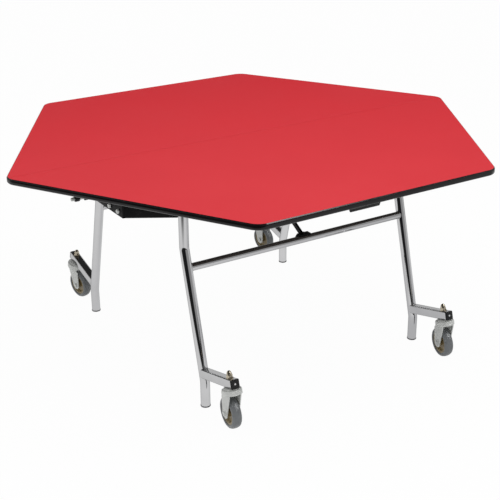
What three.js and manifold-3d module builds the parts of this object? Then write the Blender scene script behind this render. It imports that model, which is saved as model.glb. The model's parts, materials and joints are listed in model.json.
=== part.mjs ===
// Mobile folding cafeteria table with a hexagonal top, in millimetres, +Z up.
// The top is split across two opposite corners and folds about a low centre axis.
// Origin: on the floor under the middle of the top. The front half lies toward -Y.
import * as THREE from 'three';
import { mergeVertices } from 'three/addons/utils/BufferGeometryUtils.js';
import Module from 'manifold-3d';

const wasm = await Module();
wasm.setup();

// Driving dimensions: the top
const ACROSS_FLATS = 1524;
const TOP_HEIGHT = 740;
const PANEL_THICKNESS = 19;
const CORNER_RADIUS = 50;
const SEAM_GAP = 1;
const BAND_THICKNESS = 3;
const BAND_ROUNDING = 2.2;
const BAND_ROUNDING_HEIGHT = 5;
const TONGUE_DEPTH = 9;
const TONGUE_THICKNESS = 2;
const HEX_SIDES = 6;

// Driving dimensions: fits, and how far a cutting shape reaches past what it cuts
const FIT = 0.3;
const RUNNING_GAP = 0.6;
const OVERCUT = 1;
const WELD_TOLERANCE = 1e-4;

// Driving dimensions: fold hinge and the sheet-metal frame under each half
const FOLD_DROP = 112;
const HINGE_CORNER_INSET = 256;
const HINGE_PLATE_THICKNESS = 6;
const HINGE_PLATE_GAP = 1;
const HINGE_PLATE_DEPTH = 76;
const HINGE_EAR_RADIUS = 11;
const HINGE_NECK = 40;
const HINGE_NECK_TOP = 30;
const HINGE_EAR_FROM = THREE.MathUtils.degToRad(-112);
const HINGE_EAR_TO = THREE.MathUtils.degToRad(99);
const FLANGE_WIDTH = 25;
const FLANGE_THICKNESS = 3;
const FOLD_PIN_RADIUS = 6;
const FOLD_PIN_NECK_LENGTH = 17;
const FOLD_PIN_KNOB_RADIUS = 10;
const FOLD_PIN_KNOB_LENGTH = 18;
const FOLD_PIN_TIP_LENGTH = 11;
const FOLD_PIN_CLIP_RADIUS = 9;
const FOLD_PIN_CLIP_LENGTH = 5;
const APRON_OUT = 285;
const APRON_THICKNESS = 3;
const APRON_BELLY_DEPTH = 112;
const APRON_BELLY_INSET = 184;
const APRON_NEST_GAP = 4;
const APRON_NOTCH_HALF = 75;
const APRON_NOTCH_DEPTH = 15;

// Driving dimensions: leg frames
const LEG_HALF_SPACING = 431;
const LEG_DIAMETER = 31.75;
const LEG_WALL = 2;
const LEG_PIVOT_OUT = 310;
const LEG_PIVOT_DROP = 21;
const LEG_HEAD = 12;
const LEG_SPLAY = THREE.MathUtils.degToRad(14.5);
const LEG_FOLD_TURN = THREE.MathUtils.degToRad(77);
const UPPER_BEND_HEIGHT = 515;
const LOWER_BEND_HEIGHT = 90;
const BEND_RADIUS = 60;
const BEND_STEPS = 2;
const PIVOT_STUD_RADIUS = 5;
const PIVOT_STUD_OVERHANG = 2;
const BRACKET_WALL = 4;
const BRACKET_BACK = 3.5;
const BRACKET_DEPTH = 39;
const BRACKET_REACH = 20;
const BRACKET_FLANGE = 18;
const CROSSBAR_DIAMETER = 25.4;
const CROSSBAR_WALL = 2;
const CROSSBAR_HEIGHT = 451;
const GLIDE_WALL = 1.5;
const GLIDE_FLOOR = 4;
const GLIDE_HEIGHT = 9;

// Driving dimensions: fold links
const LINK_OFFSET = 18;
const LINK_THICKNESS = 9;
const LINK_WIDTH = 14;
const LINK_PIN_RADIUS = 4;
const LINK_PIN_RISE = 10;
const LINK_PIN_INSET = 19;
const LINK_CHEEK = 4;
const SADDLE_LENGTH = 70;
const SADDLE_CREST = 42;
const SADDLE_FRONT = 4;
const SADDLE_WALL = 5;
const SADDLE_ROOM = 2;
const SADDLE_EYE_FROM = THREE.MathUtils.degToRad(-70);
const SADDLE_EYE_TO = THREE.MathUtils.degToRad(100);
const CLEVIS_DROP = 31;
const CLEVIS_WIDTH = 34;
const CLEVIS_BELOW = 16;

// Driving dimensions: hand grips
const GRIP_EDGE_INSET = 96;
const GRIP_DEPTH = 54;
const GRIP_LOW_HALF = 55;
const GRIP_HIGH_HALF = 78;
const GRIP_THICKNESS = 4;

// Driving dimensions: caster arms and casters
const ARM_SIZE = 30;
const ARM_WALL = 2.5;
const ARM_LENGTH = 197;
const ARM_ROOT_HEIGHT = 118;
const ARM_CAP_THICKNESS = 4;
const ARM_CAP_PLUG = 14;
const STEM_FROM_ARM_END = 25;
const STEM_RADIUS = 6;
const NUT_RADIUS = 10.6;
const NUT_SKIRT = 10;
const NUT_DOME_RADIUS = 8.8;
const NUT_DOME_HEIGHT = 14;
const RACE_RADIUS = 25;
const RACE_HEIGHT = 3;
const RACE_CHAMFER = 1;
const STEM_HEAD_RADIUS = 10;
const STEM_HEAD_HEIGHT = 3.5;
const FORK_HEAD_RADIUS = 31;
const FORK_HEAD_PLATE = 4.5;
const FORK_HEAD_CHAMFER = 2;
const FORK_SKIRT_HEIGHT = 17;
const FORK_SKIRT_WALL = 3;
const FORK_LEG_THICKNESS = 3;
const FORK_LEG_HALF = 24;
const FORK_EYE_RADIUS = 12;
const FORK_EYE_TO = THREE.MathUtils.degToRad(18);
const WHEEL_DIAMETER = 106;
const WHEEL_WIDTH = 32;
const WHEEL_SIDE_GAP = 2.5;
const WHEEL_TRAIL = 33;
const WHEEL_DROP = 102.8;
const AXLE_RADIUS = 4.5;
const AXLE_END_RADIUS = 7.5;
const AXLE_END_LENGTH = 5;
const TYRE_DEPTH = 13.8;
const TYRE_SHOULDER = 4;
const TYRE_CROWN = 1;
const HUB_BOSS_RADIUS = 12;
const HUB_BOSS_CLEARANCE = 1;
const HUB_WEB_THICKNESS = 10;
const HUB_RIM_THICKNESS = 6;
const HUB_RIM_INSET = 2.5;

// Rest turns of the four swivels, seen from above each stem
const SWIVEL_TURN = {
  front_left: THREE.MathUtils.degToRad(-6),
  front_right: THREE.MathUtils.degToRad(-12),
  rear_left: THREE.MathUtils.degToRad(11),
  rear_right: THREE.MathUtils.degToRad(6),
};

// Facet counts
const TUBE_SIDES = 12;
const PIN_SIDES = 8;
const WHEEL_SIDES = 20;
const CORNER_STEPS = 4;
const ROUND_STEPS = 6;
const DOME_STEPS = 3;
const LIP_STEPS = 3;

// Derived places shared by several pieces; "out" is the distance outward from the seam
const UNDERSIDE = TOP_HEIGHT - PANEL_THICKNESS;
const HEX_HALF_TURN = Math.PI / HEX_SIDES;
const CORNER_REACH = ACROSS_FLATS / 2 / Math.cos(HEX_HALF_TURN);
const FOLD_HEIGHT = TOP_HEIGHT - FOLD_DROP;
const LEG_RADIUS = LEG_DIAMETER / 2;
const LEG_PIVOT_HEIGHT = UNDERSIDE - LEG_PIVOT_DROP;
const boreFor = (radius, sides) => (radius + FIT) / Math.cos(Math.PI / sides);
const PIVOT_BORE = boreFor(PIVOT_STUD_RADIUS, PIN_SIDES);
const BRACKET_INNER = LEG_RADIUS + RUNNING_GAP;
const BRACKET_OUTER = BRACKET_INNER + BRACKET_WALL;
const legOutAt = (height) => LEG_PIVOT_OUT + (UPPER_BEND_HEIGHT - height) * Math.tan(LEG_SPLAY);
const FOOT_OUT = legOutAt(LOWER_BEND_HEIGHT);
const CROSSBAR_OUT = legOutAt(CROSSBAR_HEIGHT);
const LINK_PIN = new THREE.Vector2(CROSSBAR_OUT - LINK_PIN_INSET, CROSSBAR_HEIGHT + LINK_PIN_RISE);
const LINK_BORE = boreFor(LINK_PIN_RADIUS, PIN_SIDES);
const LINK_INNER = LINK_THICKNESS / 2 + RUNNING_GAP;
const HINGE_HALF_SPAN = CORNER_REACH - HINGE_CORNER_INSET;
const HINGE_OUTER_INNER_FACE = HINGE_HALF_SPAN - HINGE_PLATE_THICKNESS;
const HINGE_INNER_OUTER_FACE = HINGE_OUTER_INNER_FACE - HINGE_PLATE_GAP;
const HINGE_INNER_INNER_FACE = HINGE_INNER_OUTER_FACE - HINGE_PLATE_THICKNESS;
const APRON_BELLY_HALF = HINGE_HALF_SPAN - APRON_BELLY_INSET;
const APRON_SHALLOW_DEPTH = 2 * (UNDERSIDE - FOLD_HEIGHT) - APRON_BELLY_DEPTH - APRON_NEST_GAP;
const GRIP_OUT = ACROSS_FLATS / 2 - GRIP_EDGE_INSET;
const CLEVIS_HEIGHT = UNDERSIDE - CLEVIS_DROP;

// The far end of a link lies on the opposite half, as far from the seam as keeps the
// link's length the same with the table open and folded
const CLEVIS_OUT = (() => {
  const pivot = new THREE.Vector2(LEG_PIVOT_OUT, LEG_PIVOT_HEIGHT);
  const axis = new THREE.Vector2(0, FOLD_HEIGHT);
  const open = LINK_PIN.clone().sub(axis);
  const folded = LINK_PIN.clone().rotateAround(pivot, LEG_FOLD_TURN).sub(axis);
  const rise = CLEVIS_HEIGHT - FOLD_HEIGHT;
  const lengths = (folded.lengthSq() - open.lengthSq()) / 2;
  return (lengths + rise * (open.y + folded.y)) / (open.x + folded.x);
})();

const COLOURS = {
  laminate: { color: 0xd43f46, roughness: 0.35, metalness: 0 },
  edging: { color: 0x151517, roughness: 0.5, metalness: 0 },
  blackSteel: { color: 0x1b1b1d, roughness: 0.45, metalness: 0.3 },
  chrome: { color: 0xd6d8da, roughness: 0.12, metalness: 1 },
  zinc: { color: 0xb9b6ae, roughness: 0.35, metalness: 1 },
  blackPlastic: { color: 0x18181a, roughness: 0.55, metalness: 0 },
  greyGlide: { color: 0x737376, roughness: 0.6, metalness: 0 },
  greyRubber: { color: 0x82878a, roughness: 0.7, metalness: 0 },
  tanPlastic: { color: 0x8f8256, roughness: 0.5, metalness: 0 },
};

// Solids: closed meshes as manifolds and back
function solid(geometry) {
  const bare = geometry.index ? geometry.toNonIndexed() : geometry.clone();
  bare.deleteAttribute('normal');
  bare.deleteAttribute('uv');
  const merged = mergeVertices(bare, WELD_TOLERANCE);
  const mesh = new wasm.Mesh({
    numProp: 3,
    vertProperties: new Float32Array(merged.attributes.position.array),
    triVerts: new Uint32Array(merged.index.array),
  });
  return new wasm.Manifold(mesh);
}

function join(...geometries) {
  return geometries.map(solid).reduce((whole, piece) => whole.add(piece));
}

function cut(body, ...tools) {
  const start = body instanceof THREE.BufferGeometry ? solid(body) : body;
  return tools.reduce((rest, tool) => {
    const cutter = tool instanceof THREE.BufferGeometry ? solid(tool) : tool;
    return rest.subtract(cutter);
  }, start);
}

function toGeometry(body) {
  const mesh = body.getMesh();
  const geometry = new THREE.BufferGeometry();
  geometry.setAttribute('position', new THREE.BufferAttribute(new Float32Array(mesh.vertProperties), 3));
  geometry.setIndex(new THREE.BufferAttribute(new Uint32Array(mesh.triVerts), 1));
  geometry.computeVertexNormals();
  return geometry;
}

function node(name, shape, finish) {
  const geometry = shape instanceof THREE.BufferGeometry ? shape : toGeometry(shape);
  const mesh = new THREE.Mesh(geometry, new THREE.MeshStandardMaterial(COLOURS[finish]));
  mesh.name = name;
  return mesh;
}

// Plain shapes. Outlines across the table are given as [out, height] pairs.
function block(x0, x1, y0, y1, z0, z1) {
  const box = new THREE.BoxGeometry(x1 - x0, y1 - y0, z1 - z0);
  return box.translate((x0 + x1) / 2, (y0 + y1) / 2, (z0 + z1) / 2);
}

function rodAlongX(radius, x0, x1, y, z, sides = PIN_SIDES) {
  const rod = new THREE.CylinderGeometry(radius, radius, x1 - x0, sides);
  return rod.rotateZ(Math.PI / 2).translate((x0 + x1) / 2, y, z);
}

function rodAlongZ(radius, z0, z1, x, y, sides = PIN_SIDES) {
  const rod = new THREE.CylinderGeometry(radius, radius, z1 - z0, sides);
  return rod.rotateX(Math.PI / 2).translate(x, y, (z0 + z1) / 2);
}

function acrossX(shape, x0, x1) {
  const flat = new THREE.ExtrudeGeometry(shape, {
    depth: x1 - x0,
    bevelEnabled: false,
    curveSegments: ROUND_STEPS,
  });
  const turn = new THREE.Matrix4().makeBasis(
    new THREE.Vector3(0, 1, 0),
    new THREE.Vector3(0, 0, 1),
    new THREE.Vector3(1, 0, 0),
  );
  return flat.applyMatrix4(turn).translate(x0, 0, 0);
}

function acrossY(shape, y0, y1) {
  const flat = new THREE.ExtrudeGeometry(shape, {
    depth: y1 - y0,
    bevelEnabled: false,
    curveSegments: ROUND_STEPS,
  });
  return flat.rotateX(Math.PI / 2).translate(0, y1, 0);
}

function outlineShape(pairs) {
  return new THREE.Shape(pairs.map(([out, height]) => new THREE.Vector2(-out, height)));
}

function turned(profile, sides) {
  const points = profile.map(([radius, height]) => new THREE.Vector2(radius, height));
  return new THREE.LatheGeometry(points, sides).rotateX(Math.PI / 2);
}

// A path that takes one ring of a tube at each of its stations
class StationPath extends THREE.Curve {
  constructor(stations) {
    super();
    this.stations = stations;
  }

  getPoint(t, target = new THREE.Vector3()) {
    const last = this.stations.length - 1;
    const place = THREE.MathUtils.clamp(t, 0, 1) * last;
    const from = Math.min(Math.floor(place), last - 1);
    return target.lerpVectors(this.stations[from], this.stations[from + 1], place - from);
  }

  getPointAt(u, target) {
    return this.getPoint(u, target);
  }

  getTangentAt(u, target) {
    return this.getTangent(u, target);
  }
}

function tubeAlong(stations, radius) {
  const ring = [];
  for (let side = 0; side < TUBE_SIDES; side += 1) {
    const angle = (2 * Math.PI * side) / TUBE_SIDES;
    ring.push(new THREE.Vector2(radius * Math.cos(angle), radius * Math.sin(angle)));
  }
  return new THREE.ExtrudeGeometry(new THREE.Shape(ring), {
    steps: stations.length - 1,
    extrudePath: new StationPath(stations),
    bevelEnabled: false,
  });
}

// Top: hexagon with corners on the X axis, its edges moved in by an inset
function hexagon(inset) {
  const radius = CORNER_RADIUS - inset;
  const reach = (ACROSS_FLATS / 2 - CORNER_RADIUS) / Math.cos(HEX_HALF_TURN);
  const shape = new THREE.Shape();
  for (let corner = 0; corner < HEX_SIDES; corner += 1) {
    const angle = 2 * corner * HEX_HALF_TURN;
    const x = reach * Math.cos(angle);
    const y = reach * Math.sin(angle);
    const start = angle - HEX_HALF_TURN;
    const end = angle + HEX_HALF_TURN;
    if (corner === 0) {
      shape.moveTo(x + radius * Math.cos(start), y + radius * Math.sin(start));
    } else {
      shape.lineTo(x + radius * Math.cos(start), y + radius * Math.sin(start));
    }
    shape.absarc(x, y, radius, start, end, false);
  }
  shape.closePath();
  return shape;
}

function hexagonSlab(inset, z0, z1) {
  const slab = new THREE.ExtrudeGeometry(hexagon(inset), {
    depth: z1 - z0,
    bevelEnabled: false,
    curveSegments: CORNER_STEPS,
  });
  return solid(slab.translate(0, 0, z0));
}

function behindSeam() {
  const reach = ACROSS_FLATS;
  return block(-reach, reach, -SEAM_GAP / 2, reach, -reach, reach);
}

const PANEL_INSET = BAND_THICKNESS + FIT;
const TONGUE_LOW = UNDERSIDE + (PANEL_THICKNESS - TONGUE_THICKNESS) / 2;
const TONGUE_HIGH = TONGUE_LOW + TONGUE_THICKNESS;

function topPanel() {
  const inner = PANEL_INSET + TONGUE_DEPTH + FIT;
  const groove = hexagonSlab(0, TONGUE_LOW - FIT, TONGUE_HIGH + FIT)
    .subtract(hexagonSlab(inner, TONGUE_LOW - OVERCUT, TONGUE_HIGH + OVERCUT));
  return cut(hexagonSlab(PANEL_INSET, UNDERSIDE, TOP_HEIGHT), groove, behindSeam());
}

function edgeBand() {
  const rounded = new THREE.ExtrudeGeometry(hexagon(BAND_ROUNDING), {
    depth: PANEL_THICKNESS - 2 * BAND_ROUNDING_HEIGHT,
    bevelThickness: BAND_ROUNDING_HEIGHT,
    bevelSize: BAND_ROUNDING,
    bevelSegments: LIP_STEPS,
    curveSegments: CORNER_STEPS,
  }).translate(0, 0, UNDERSIDE + BAND_ROUNDING_HEIGHT);
  const face = cut(rounded, hexagonSlab(BAND_THICKNESS, UNDERSIDE - OVERCUT, TOP_HEIGHT + OVERCUT));
  const tongueInner = PANEL_INSET + TONGUE_DEPTH;
  const tongue = hexagonSlab(BAND_THICKNESS / 2, TONGUE_LOW, TONGUE_HIGH)
    .subtract(hexagonSlab(tongueInner, TONGUE_LOW - OVERCUT, TONGUE_HIGH + OVERCUT));
  return cut(face.add(tongue), behindSeam());
}

// Fold hinge: plates with an ear on the low axis, one pair on each side
function hingePlate(x0, x1, flangeSide) {
  const shape = new THREE.Shape();
  const low = UNDERSIDE - HINGE_PLATE_DEPTH;
  shape.moveTo(-APRON_OUT, UNDERSIDE);
  shape.lineTo(-APRON_OUT, low);
  shape.lineTo(-HINGE_NECK, low);
  shape.absarc(0, FOLD_HEIGHT, HINGE_EAR_RADIUS, HINGE_EAR_FROM, HINGE_EAR_TO, false);
  shape.lineTo(-HINGE_NECK_TOP, UNDERSIDE);
  shape.closePath();
  const flangeX = flangeSide > 0 ? x1 : x0 - FLANGE_WIDTH;
  const flange = block(
    flangeX, flangeX + FLANGE_WIDTH,
    -APRON_OUT + 2 * FLANGE_WIDTH, -HINGE_NECK,
    UNDERSIDE - FLANGE_THICKNESS, UNDERSIDE,
  );
  const boreRadius = boreFor(FOLD_PIN_RADIUS, PIN_SIDES);
  const bore = rodAlongX(boreRadius, x0 - OVERCUT, x1 + OVERCUT, 0, FOLD_HEIGHT);
  return cut(join(acrossX(shape, x0, x1), flange), bore);
}

// The pin's knob and tip stand outside the plates; its clip holds it inside them
function foldPin(side) {
  const clipStart = HINGE_INNER_INNER_FACE - FIT;
  const knobStart = HINGE_HALF_SPAN + FOLD_PIN_NECK_LENGTH;
  const knobEnd = knobStart + FOLD_PIN_KNOB_LENGTH;
  const tipEnd = knobEnd + FOLD_PIN_TIP_LENGTH;
  const pin = turned([
    [0, clipStart - FOLD_PIN_CLIP_LENGTH],
    [FOLD_PIN_CLIP_RADIUS, clipStart - FOLD_PIN_CLIP_LENGTH],
    [FOLD_PIN_CLIP_RADIUS, clipStart],
    [FOLD_PIN_RADIUS, clipStart],
    [FOLD_PIN_RADIUS, knobStart],
    [FOLD_PIN_KNOB_RADIUS, knobStart],
    [FOLD_PIN_KNOB_RADIUS, knobEnd],
    [FOLD_PIN_RADIUS, knobEnd],
    [FOLD_PIN_RADIUS, tipEnd],
    [0, tipEnd],
  ], PIN_SIDES);
  return solid(pin.rotateY((side * Math.PI) / 2).translate(0, 0, FOLD_HEIGHT));
}

// Apron: folded sheet along each half, cut away in the middle for the links. It is deep
// toward its outer hinge plate and shallow on the other side, so that two halves nest.
function apron() {
  const left = -HINGE_OUTER_INNER_FACE;
  const right = HINGE_INNER_INNER_FACE;
  const low = UNDERSIDE - HINGE_PLATE_DEPTH;
  const belly = UNDERSIDE - APRON_BELLY_DEPTH;
  const shallow = UNDERSIDE - APRON_SHALLOW_DEPTH;
  const notch = UNDERSIDE - APRON_NOTCH_DEPTH;
  const face = new THREE.Shape([
    new THREE.Vector2(left, UNDERSIDE),
    new THREE.Vector2(left, low),
    new THREE.Vector2(-APRON_BELLY_HALF, belly),
    new THREE.Vector2(-APRON_NOTCH_HALF, belly),
    new THREE.Vector2(-APRON_NOTCH_HALF, notch),
    new THREE.Vector2(APRON_NOTCH_HALF, notch),
    new THREE.Vector2(APRON_NOTCH_HALF, shallow),
    new THREE.Vector2(right, shallow),
    new THREE.Vector2(right, UNDERSIDE),
  ]);
  const flange = block(
    left, right,
    -APRON_OUT, -APRON_OUT + APRON_THICKNESS + FLANGE_WIDTH,
    UNDERSIDE - FLANGE_THICKNESS, UNDERSIDE,
  );
  return join(acrossY(face, -APRON_OUT, -APRON_OUT + APRON_THICKNESS), flange);
}

// Leg bracket: two cheeks and a back, with the pivot stud welded across
function legBracket() {
  const low = UNDERSIDE - BRACKET_DEPTH;
  const reach = LEG_PIVOT_OUT + BRACKET_REACH;
  const cheek = outlineShape([
    [APRON_OUT, UNDERSIDE],
    [APRON_OUT, low],
    [LEG_PIVOT_OUT, low],
    [reach, LEG_PIVOT_HEIGHT],
    [reach, UNDERSIDE],
  ]);
  const flangeLow = UNDERSIDE - FLANGE_THICKNESS;
  const wing = BRACKET_OUTER + BRACKET_FLANGE;
  const studEnd = BRACKET_OUTER + PIVOT_STUD_OVERHANG;
  return join(
    acrossX(cheek, -BRACKET_OUTER, -BRACKET_INNER),
    acrossX(cheek, BRACKET_INNER, BRACKET_OUTER),
    block(-BRACKET_OUTER, BRACKET_OUTER, -APRON_OUT - BRACKET_BACK, -APRON_OUT, low, UNDERSIDE),
    block(-wing, -BRACKET_INNER, -reach, -APRON_OUT, flangeLow, UNDERSIDE),
    block(BRACKET_INNER, wing, -reach, -APRON_OUT, flangeLow, UNDERSIDE),
    rodAlongX(PIVOT_STUD_RADIUS, -studEnd, studEnd, -LEG_PIVOT_OUT, LEG_PIVOT_HEIGHT),
  );
}

// Hand grip near the outer edge: a formed plate that hangs as a finger pull
function grip() {
  const low = UNDERSIDE - GRIP_DEPTH;
  const plate = new THREE.Shape([
    new THREE.Vector2(-GRIP_HIGH_HALF, UNDERSIDE),
    new THREE.Vector2(-GRIP_LOW_HALF, low),
    new THREE.Vector2(GRIP_LOW_HALF, low),
    new THREE.Vector2(GRIP_HIGH_HALF, UNDERSIDE),
  ]);
  const flange = block(
    -GRIP_HIGH_HALF, GRIP_HIGH_HALF,
    -GRIP_OUT, -GRIP_OUT + GRIP_THICKNESS + FLANGE_WIDTH,
    UNDERSIDE - FLANGE_THICKNESS, UNDERSIDE,
  );
  return join(acrossY(plate, -GRIP_OUT, -GRIP_OUT + GRIP_THICKNESS), flange);
}

// Clevis for the far end of the opposite frame's link
function linkClevis() {
  const low = CLEVIS_HEIGHT - CLEVIS_BELOW;
  const near = CLEVIS_OUT - CLEVIS_WIDTH / 2;
  const far = CLEVIS_OUT + CLEVIS_WIDTH / 2;
  const cheek = outlineShape([
    [near, UNDERSIDE],
    [CLEVIS_OUT - LINK_WIDTH / 2, low],
    [CLEVIS_OUT + LINK_WIDTH / 2, low],
    [far, UNDERSIDE],
  ]);
  const outer = LINK_INNER + LINK_CHEEK;
  const wing = outer + BRACKET_FLANGE;
  return join(
    acrossX(cheek, -outer, -LINK_INNER),
    acrossX(cheek, LINK_INNER, outer),
    block(-wing, wing, -far, -near, UNDERSIDE - FLANGE_THICKNESS, UNDERSIDE),
  );
}

// Leg: bent tube from the pivot down to the floor glide
function bend(before, corner, after) {
  const toBefore = before.clone().sub(corner).normalize();
  const toAfter = after.clone().sub(corner).normalize();
  const tangent = BEND_RADIUS * Math.tan(LEG_SPLAY / 2);
  const start = corner.clone().addScaledVector(toBefore, tangent);
  const end = corner.clone().addScaledVector(toAfter, tangent);
  const curve = new THREE.QuadraticBezierCurve3(start, corner, end);
  return curve.getPoints(BEND_STEPS);
}

function legStations(extra) {
  const top = new THREE.Vector3(0, -LEG_PIVOT_OUT, LEG_PIVOT_HEIGHT + LEG_HEAD + extra);
  const upper = new THREE.Vector3(0, -LEG_PIVOT_OUT, UPPER_BEND_HEIGHT);
  const lower = new THREE.Vector3(0, -FOOT_OUT, LOWER_BEND_HEIGHT);
  const foot = new THREE.Vector3(0, -FOOT_OUT, GLIDE_FLOOR + FIT - extra);
  return [top, ...bend(top, upper, lower), ...bend(upper, lower, foot), foot];
}

function leg() {
  const bore = rodAlongX(PIVOT_BORE, -LEG_DIAMETER, LEG_DIAMETER, -LEG_PIVOT_OUT, LEG_PIVOT_HEIGHT);
  const outside = tubeAlong(legStations(0), LEG_RADIUS);
  const inside = tubeAlong(legStations(OVERCUT), LEG_RADIUS - LEG_WALL);
  return cut(outside, inside, bore);
}

function legCope(x) {
  return tubeAlong(legStations(0), LEG_RADIUS + FIT).translate(x, 0, 0);
}

function crossbar() {
  const radius = CROSSBAR_DIAMETER / 2;
  const inner = radius - CROSSBAR_WALL;
  const ends = LEG_HALF_SPACING;
  const past = ends + OVERCUT;
  return cut(
    rodAlongX(radius, -ends, ends, -CROSSBAR_OUT, CROSSBAR_HEIGHT, TUBE_SIDES),
    rodAlongX(inner, -past, past, -CROSSBAR_OUT, CROSSBAR_HEIGHT, TUBE_SIDES),
    legCope(-ends),
    legCope(ends),
  );
}

function footGlide() {
  const inner = boreFor(LEG_RADIUS, TUBE_SIDES);
  const outer = inner + GLIDE_WALL;
  return turned([
    [0, 0],
    [outer - GLIDE_WALL / 2, 0],
    [outer, GLIDE_WALL / 2],
    [outer, GLIDE_HEIGHT],
    [inner, GLIDE_HEIGHT],
    [inner, GLIDE_FLOOR],
    [0, GLIDE_FLOOR],
  ], TUBE_SIDES);
}

// Saddle welded on the back of the crossbar, with the cheeks and pin of the link
function linkSaddle() {
  const radius = CROSSBAR_DIAMETER / 2;
  const back = -CROSSBAR_OUT + radius + SADDLE_WALL / 2;
  const front = -CROSSBAR_OUT - SADDLE_FRONT;
  const top = CROSSBAR_HEIGHT + radius + SADDLE_WALL;
  const strip = new THREE.Shape([
    new THREE.Vector2(-SADDLE_LENGTH / 2, CROSSBAR_HEIGHT),
    new THREE.Vector2(SADDLE_LENGTH / 2, CROSSBAR_HEIGHT),
    new THREE.Vector2(SADDLE_CREST / 2, top),
    new THREE.Vector2(-SADDLE_CREST / 2, top),
  ]);
  const cheek = new THREE.Shape();
  const eye = LINK_WIDTH / 2;
  cheek.moveTo(front, top - SADDLE_WALL / 2);
  cheek.lineTo(back, CROSSBAR_HEIGHT);
  cheek.absarc(-LINK_PIN.x, LINK_PIN.y, eye, SADDLE_EYE_FROM, SADDLE_EYE_TO, false);
  cheek.closePath();
  const outer = LINK_INNER + LINK_CHEEK;
  const barRadius = boreFor(radius, TUBE_SIDES);
  const barEnd = SADDLE_LENGTH / 2 + OVERCUT;
  const bar = rodAlongX(barRadius, -barEnd, barEnd, -CROSSBAR_OUT, CROSSBAR_HEIGHT, TUBE_SIDES);
  const roomRadius = boreFor(eye + SADDLE_ROOM, TUBE_SIDES);
  const room = rodAlongX(roomRadius, -LINK_INNER, LINK_INNER, -LINK_PIN.x, LINK_PIN.y, TUBE_SIDES);
  const pin = rodAlongX(LINK_PIN_RADIUS, -outer, outer, -LINK_PIN.x, LINK_PIN.y);
  const body = join(
    acrossY(strip, front, back),
    acrossX(cheek, -outer, -LINK_INNER),
    acrossX(cheek, LINK_INNER, outer),
  );
  return cut(body, bar, room).add(solid(pin));
}

// Link: flat bar with round ends, bored for the saddle pin
function foldLink() {
  const near = new THREE.Vector2(-LINK_PIN.x, LINK_PIN.y);
  const far = new THREE.Vector2(CLEVIS_OUT, CLEVIS_HEIGHT);
  const angle = far.clone().sub(near).angle();
  const half = LINK_WIDTH / 2;
  const bar = new THREE.Shape();
  bar.absarc(near.x, near.y, half, angle + Math.PI / 2, angle - Math.PI / 2, false);
  bar.absarc(far.x, far.y, half, angle - Math.PI / 2, angle + Math.PI / 2, false);
  bar.closePath();
  const bore = rodAlongX(LINK_BORE, -LINK_THICKNESS, LINK_THICKNESS, near.x, near.y);
  return cut(acrossX(bar, -LINK_THICKNESS / 2, LINK_THICKNESS / 2), bore);
}

// Caster arm, in its own frame: root on the leg's axis, running toward -Y
const STEM_OUT = ARM_LENGTH - STEM_FROM_ARM_END;
const ARM_HALF = ARM_SIZE / 2;

function casterArm() {
  const inner = ARM_HALF - ARM_WALL;
  return cut(
    block(-ARM_HALF, ARM_HALF, -ARM_LENGTH, 0, -ARM_HALF, ARM_HALF),
    block(-inner, inner, -ARM_LENGTH - OVERCUT, OVERCUT, -inner, inner),
    rodAlongZ(boreFor(LEG_RADIUS, TUBE_SIDES), -ARM_SIZE, ARM_SIZE, 0, 0, TUBE_SIDES),
    rodAlongZ(boreFor(STEM_RADIUS, TUBE_SIDES), -ARM_SIZE, ARM_SIZE, 0, -STEM_OUT, TUBE_SIDES),
  );
}

function armCap() {
  const plug = ARM_HALF - ARM_WALL - FIT;
  return join(
    block(-ARM_HALF, ARM_HALF, -ARM_LENGTH - ARM_CAP_THICKNESS, -ARM_LENGTH, -ARM_HALF, ARM_HALF),
    block(-plug, plug, -ARM_LENGTH - OVERCUT, -ARM_LENGTH + ARM_CAP_PLUG, -plug, plug),
  );
}

// Caster, in its own frame: the stem's axis is Z, and the arm's axis passes through the origin
const RACE_TOP = -ARM_HALF - FIT;
const FORK_TOP = RACE_TOP - RACE_HEIGHT - FIT;
const FORK_PLATE_LOW = FORK_TOP - FORK_HEAD_PLATE;
const FORK_LEG_INNER = WHEEL_WIDTH / 2 + WHEEL_SIDE_GAP;
const FORK_LEG_OUTER = FORK_LEG_INNER + FORK_LEG_THICKNESS;
const WHEEL_RADIUS = WHEEL_DIAMETER / 2;
const TYRE_BORE = WHEEL_RADIUS - TYRE_DEPTH;

function stemNut() {
  const seat = ARM_HALF + FIT;
  const shoulder = seat + NUT_SKIRT;
  const dome = [];
  for (let step = DOME_STEPS; step > 0; step -= 1) {
    const angle = (step * Math.PI) / (2 * DOME_STEPS);
    dome.push([NUT_DOME_RADIUS * Math.cos(angle), shoulder + NUT_DOME_HEIGHT * Math.sin(angle)]);
  }
  dome[0][0] = 0;
  return turned([
    ...dome,
    [NUT_DOME_RADIUS, shoulder],
    [NUT_RADIUS, shoulder],
    [NUT_RADIUS, seat],
    [STEM_RADIUS, seat],
    [STEM_RADIUS, RACE_TOP],
    [RACE_RADIUS, RACE_TOP],
    [RACE_RADIUS, RACE_TOP - RACE_HEIGHT + RACE_CHAMFER],
    [RACE_RADIUS - RACE_CHAMFER, RACE_TOP - RACE_HEIGHT],
    [STEM_RADIUS, RACE_TOP - RACE_HEIGHT],
    [STEM_RADIUS, FORK_PLATE_LOW - FIT],
    [STEM_HEAD_RADIUS, FORK_PLATE_LOW - FIT],
    [STEM_HEAD_RADIUS, FORK_PLATE_LOW - FIT - STEM_HEAD_HEIGHT],
    [0, FORK_PLATE_LOW - FIT - STEM_HEAD_HEIGHT],
  ].reverse(), TUBE_SIDES);
}

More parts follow.
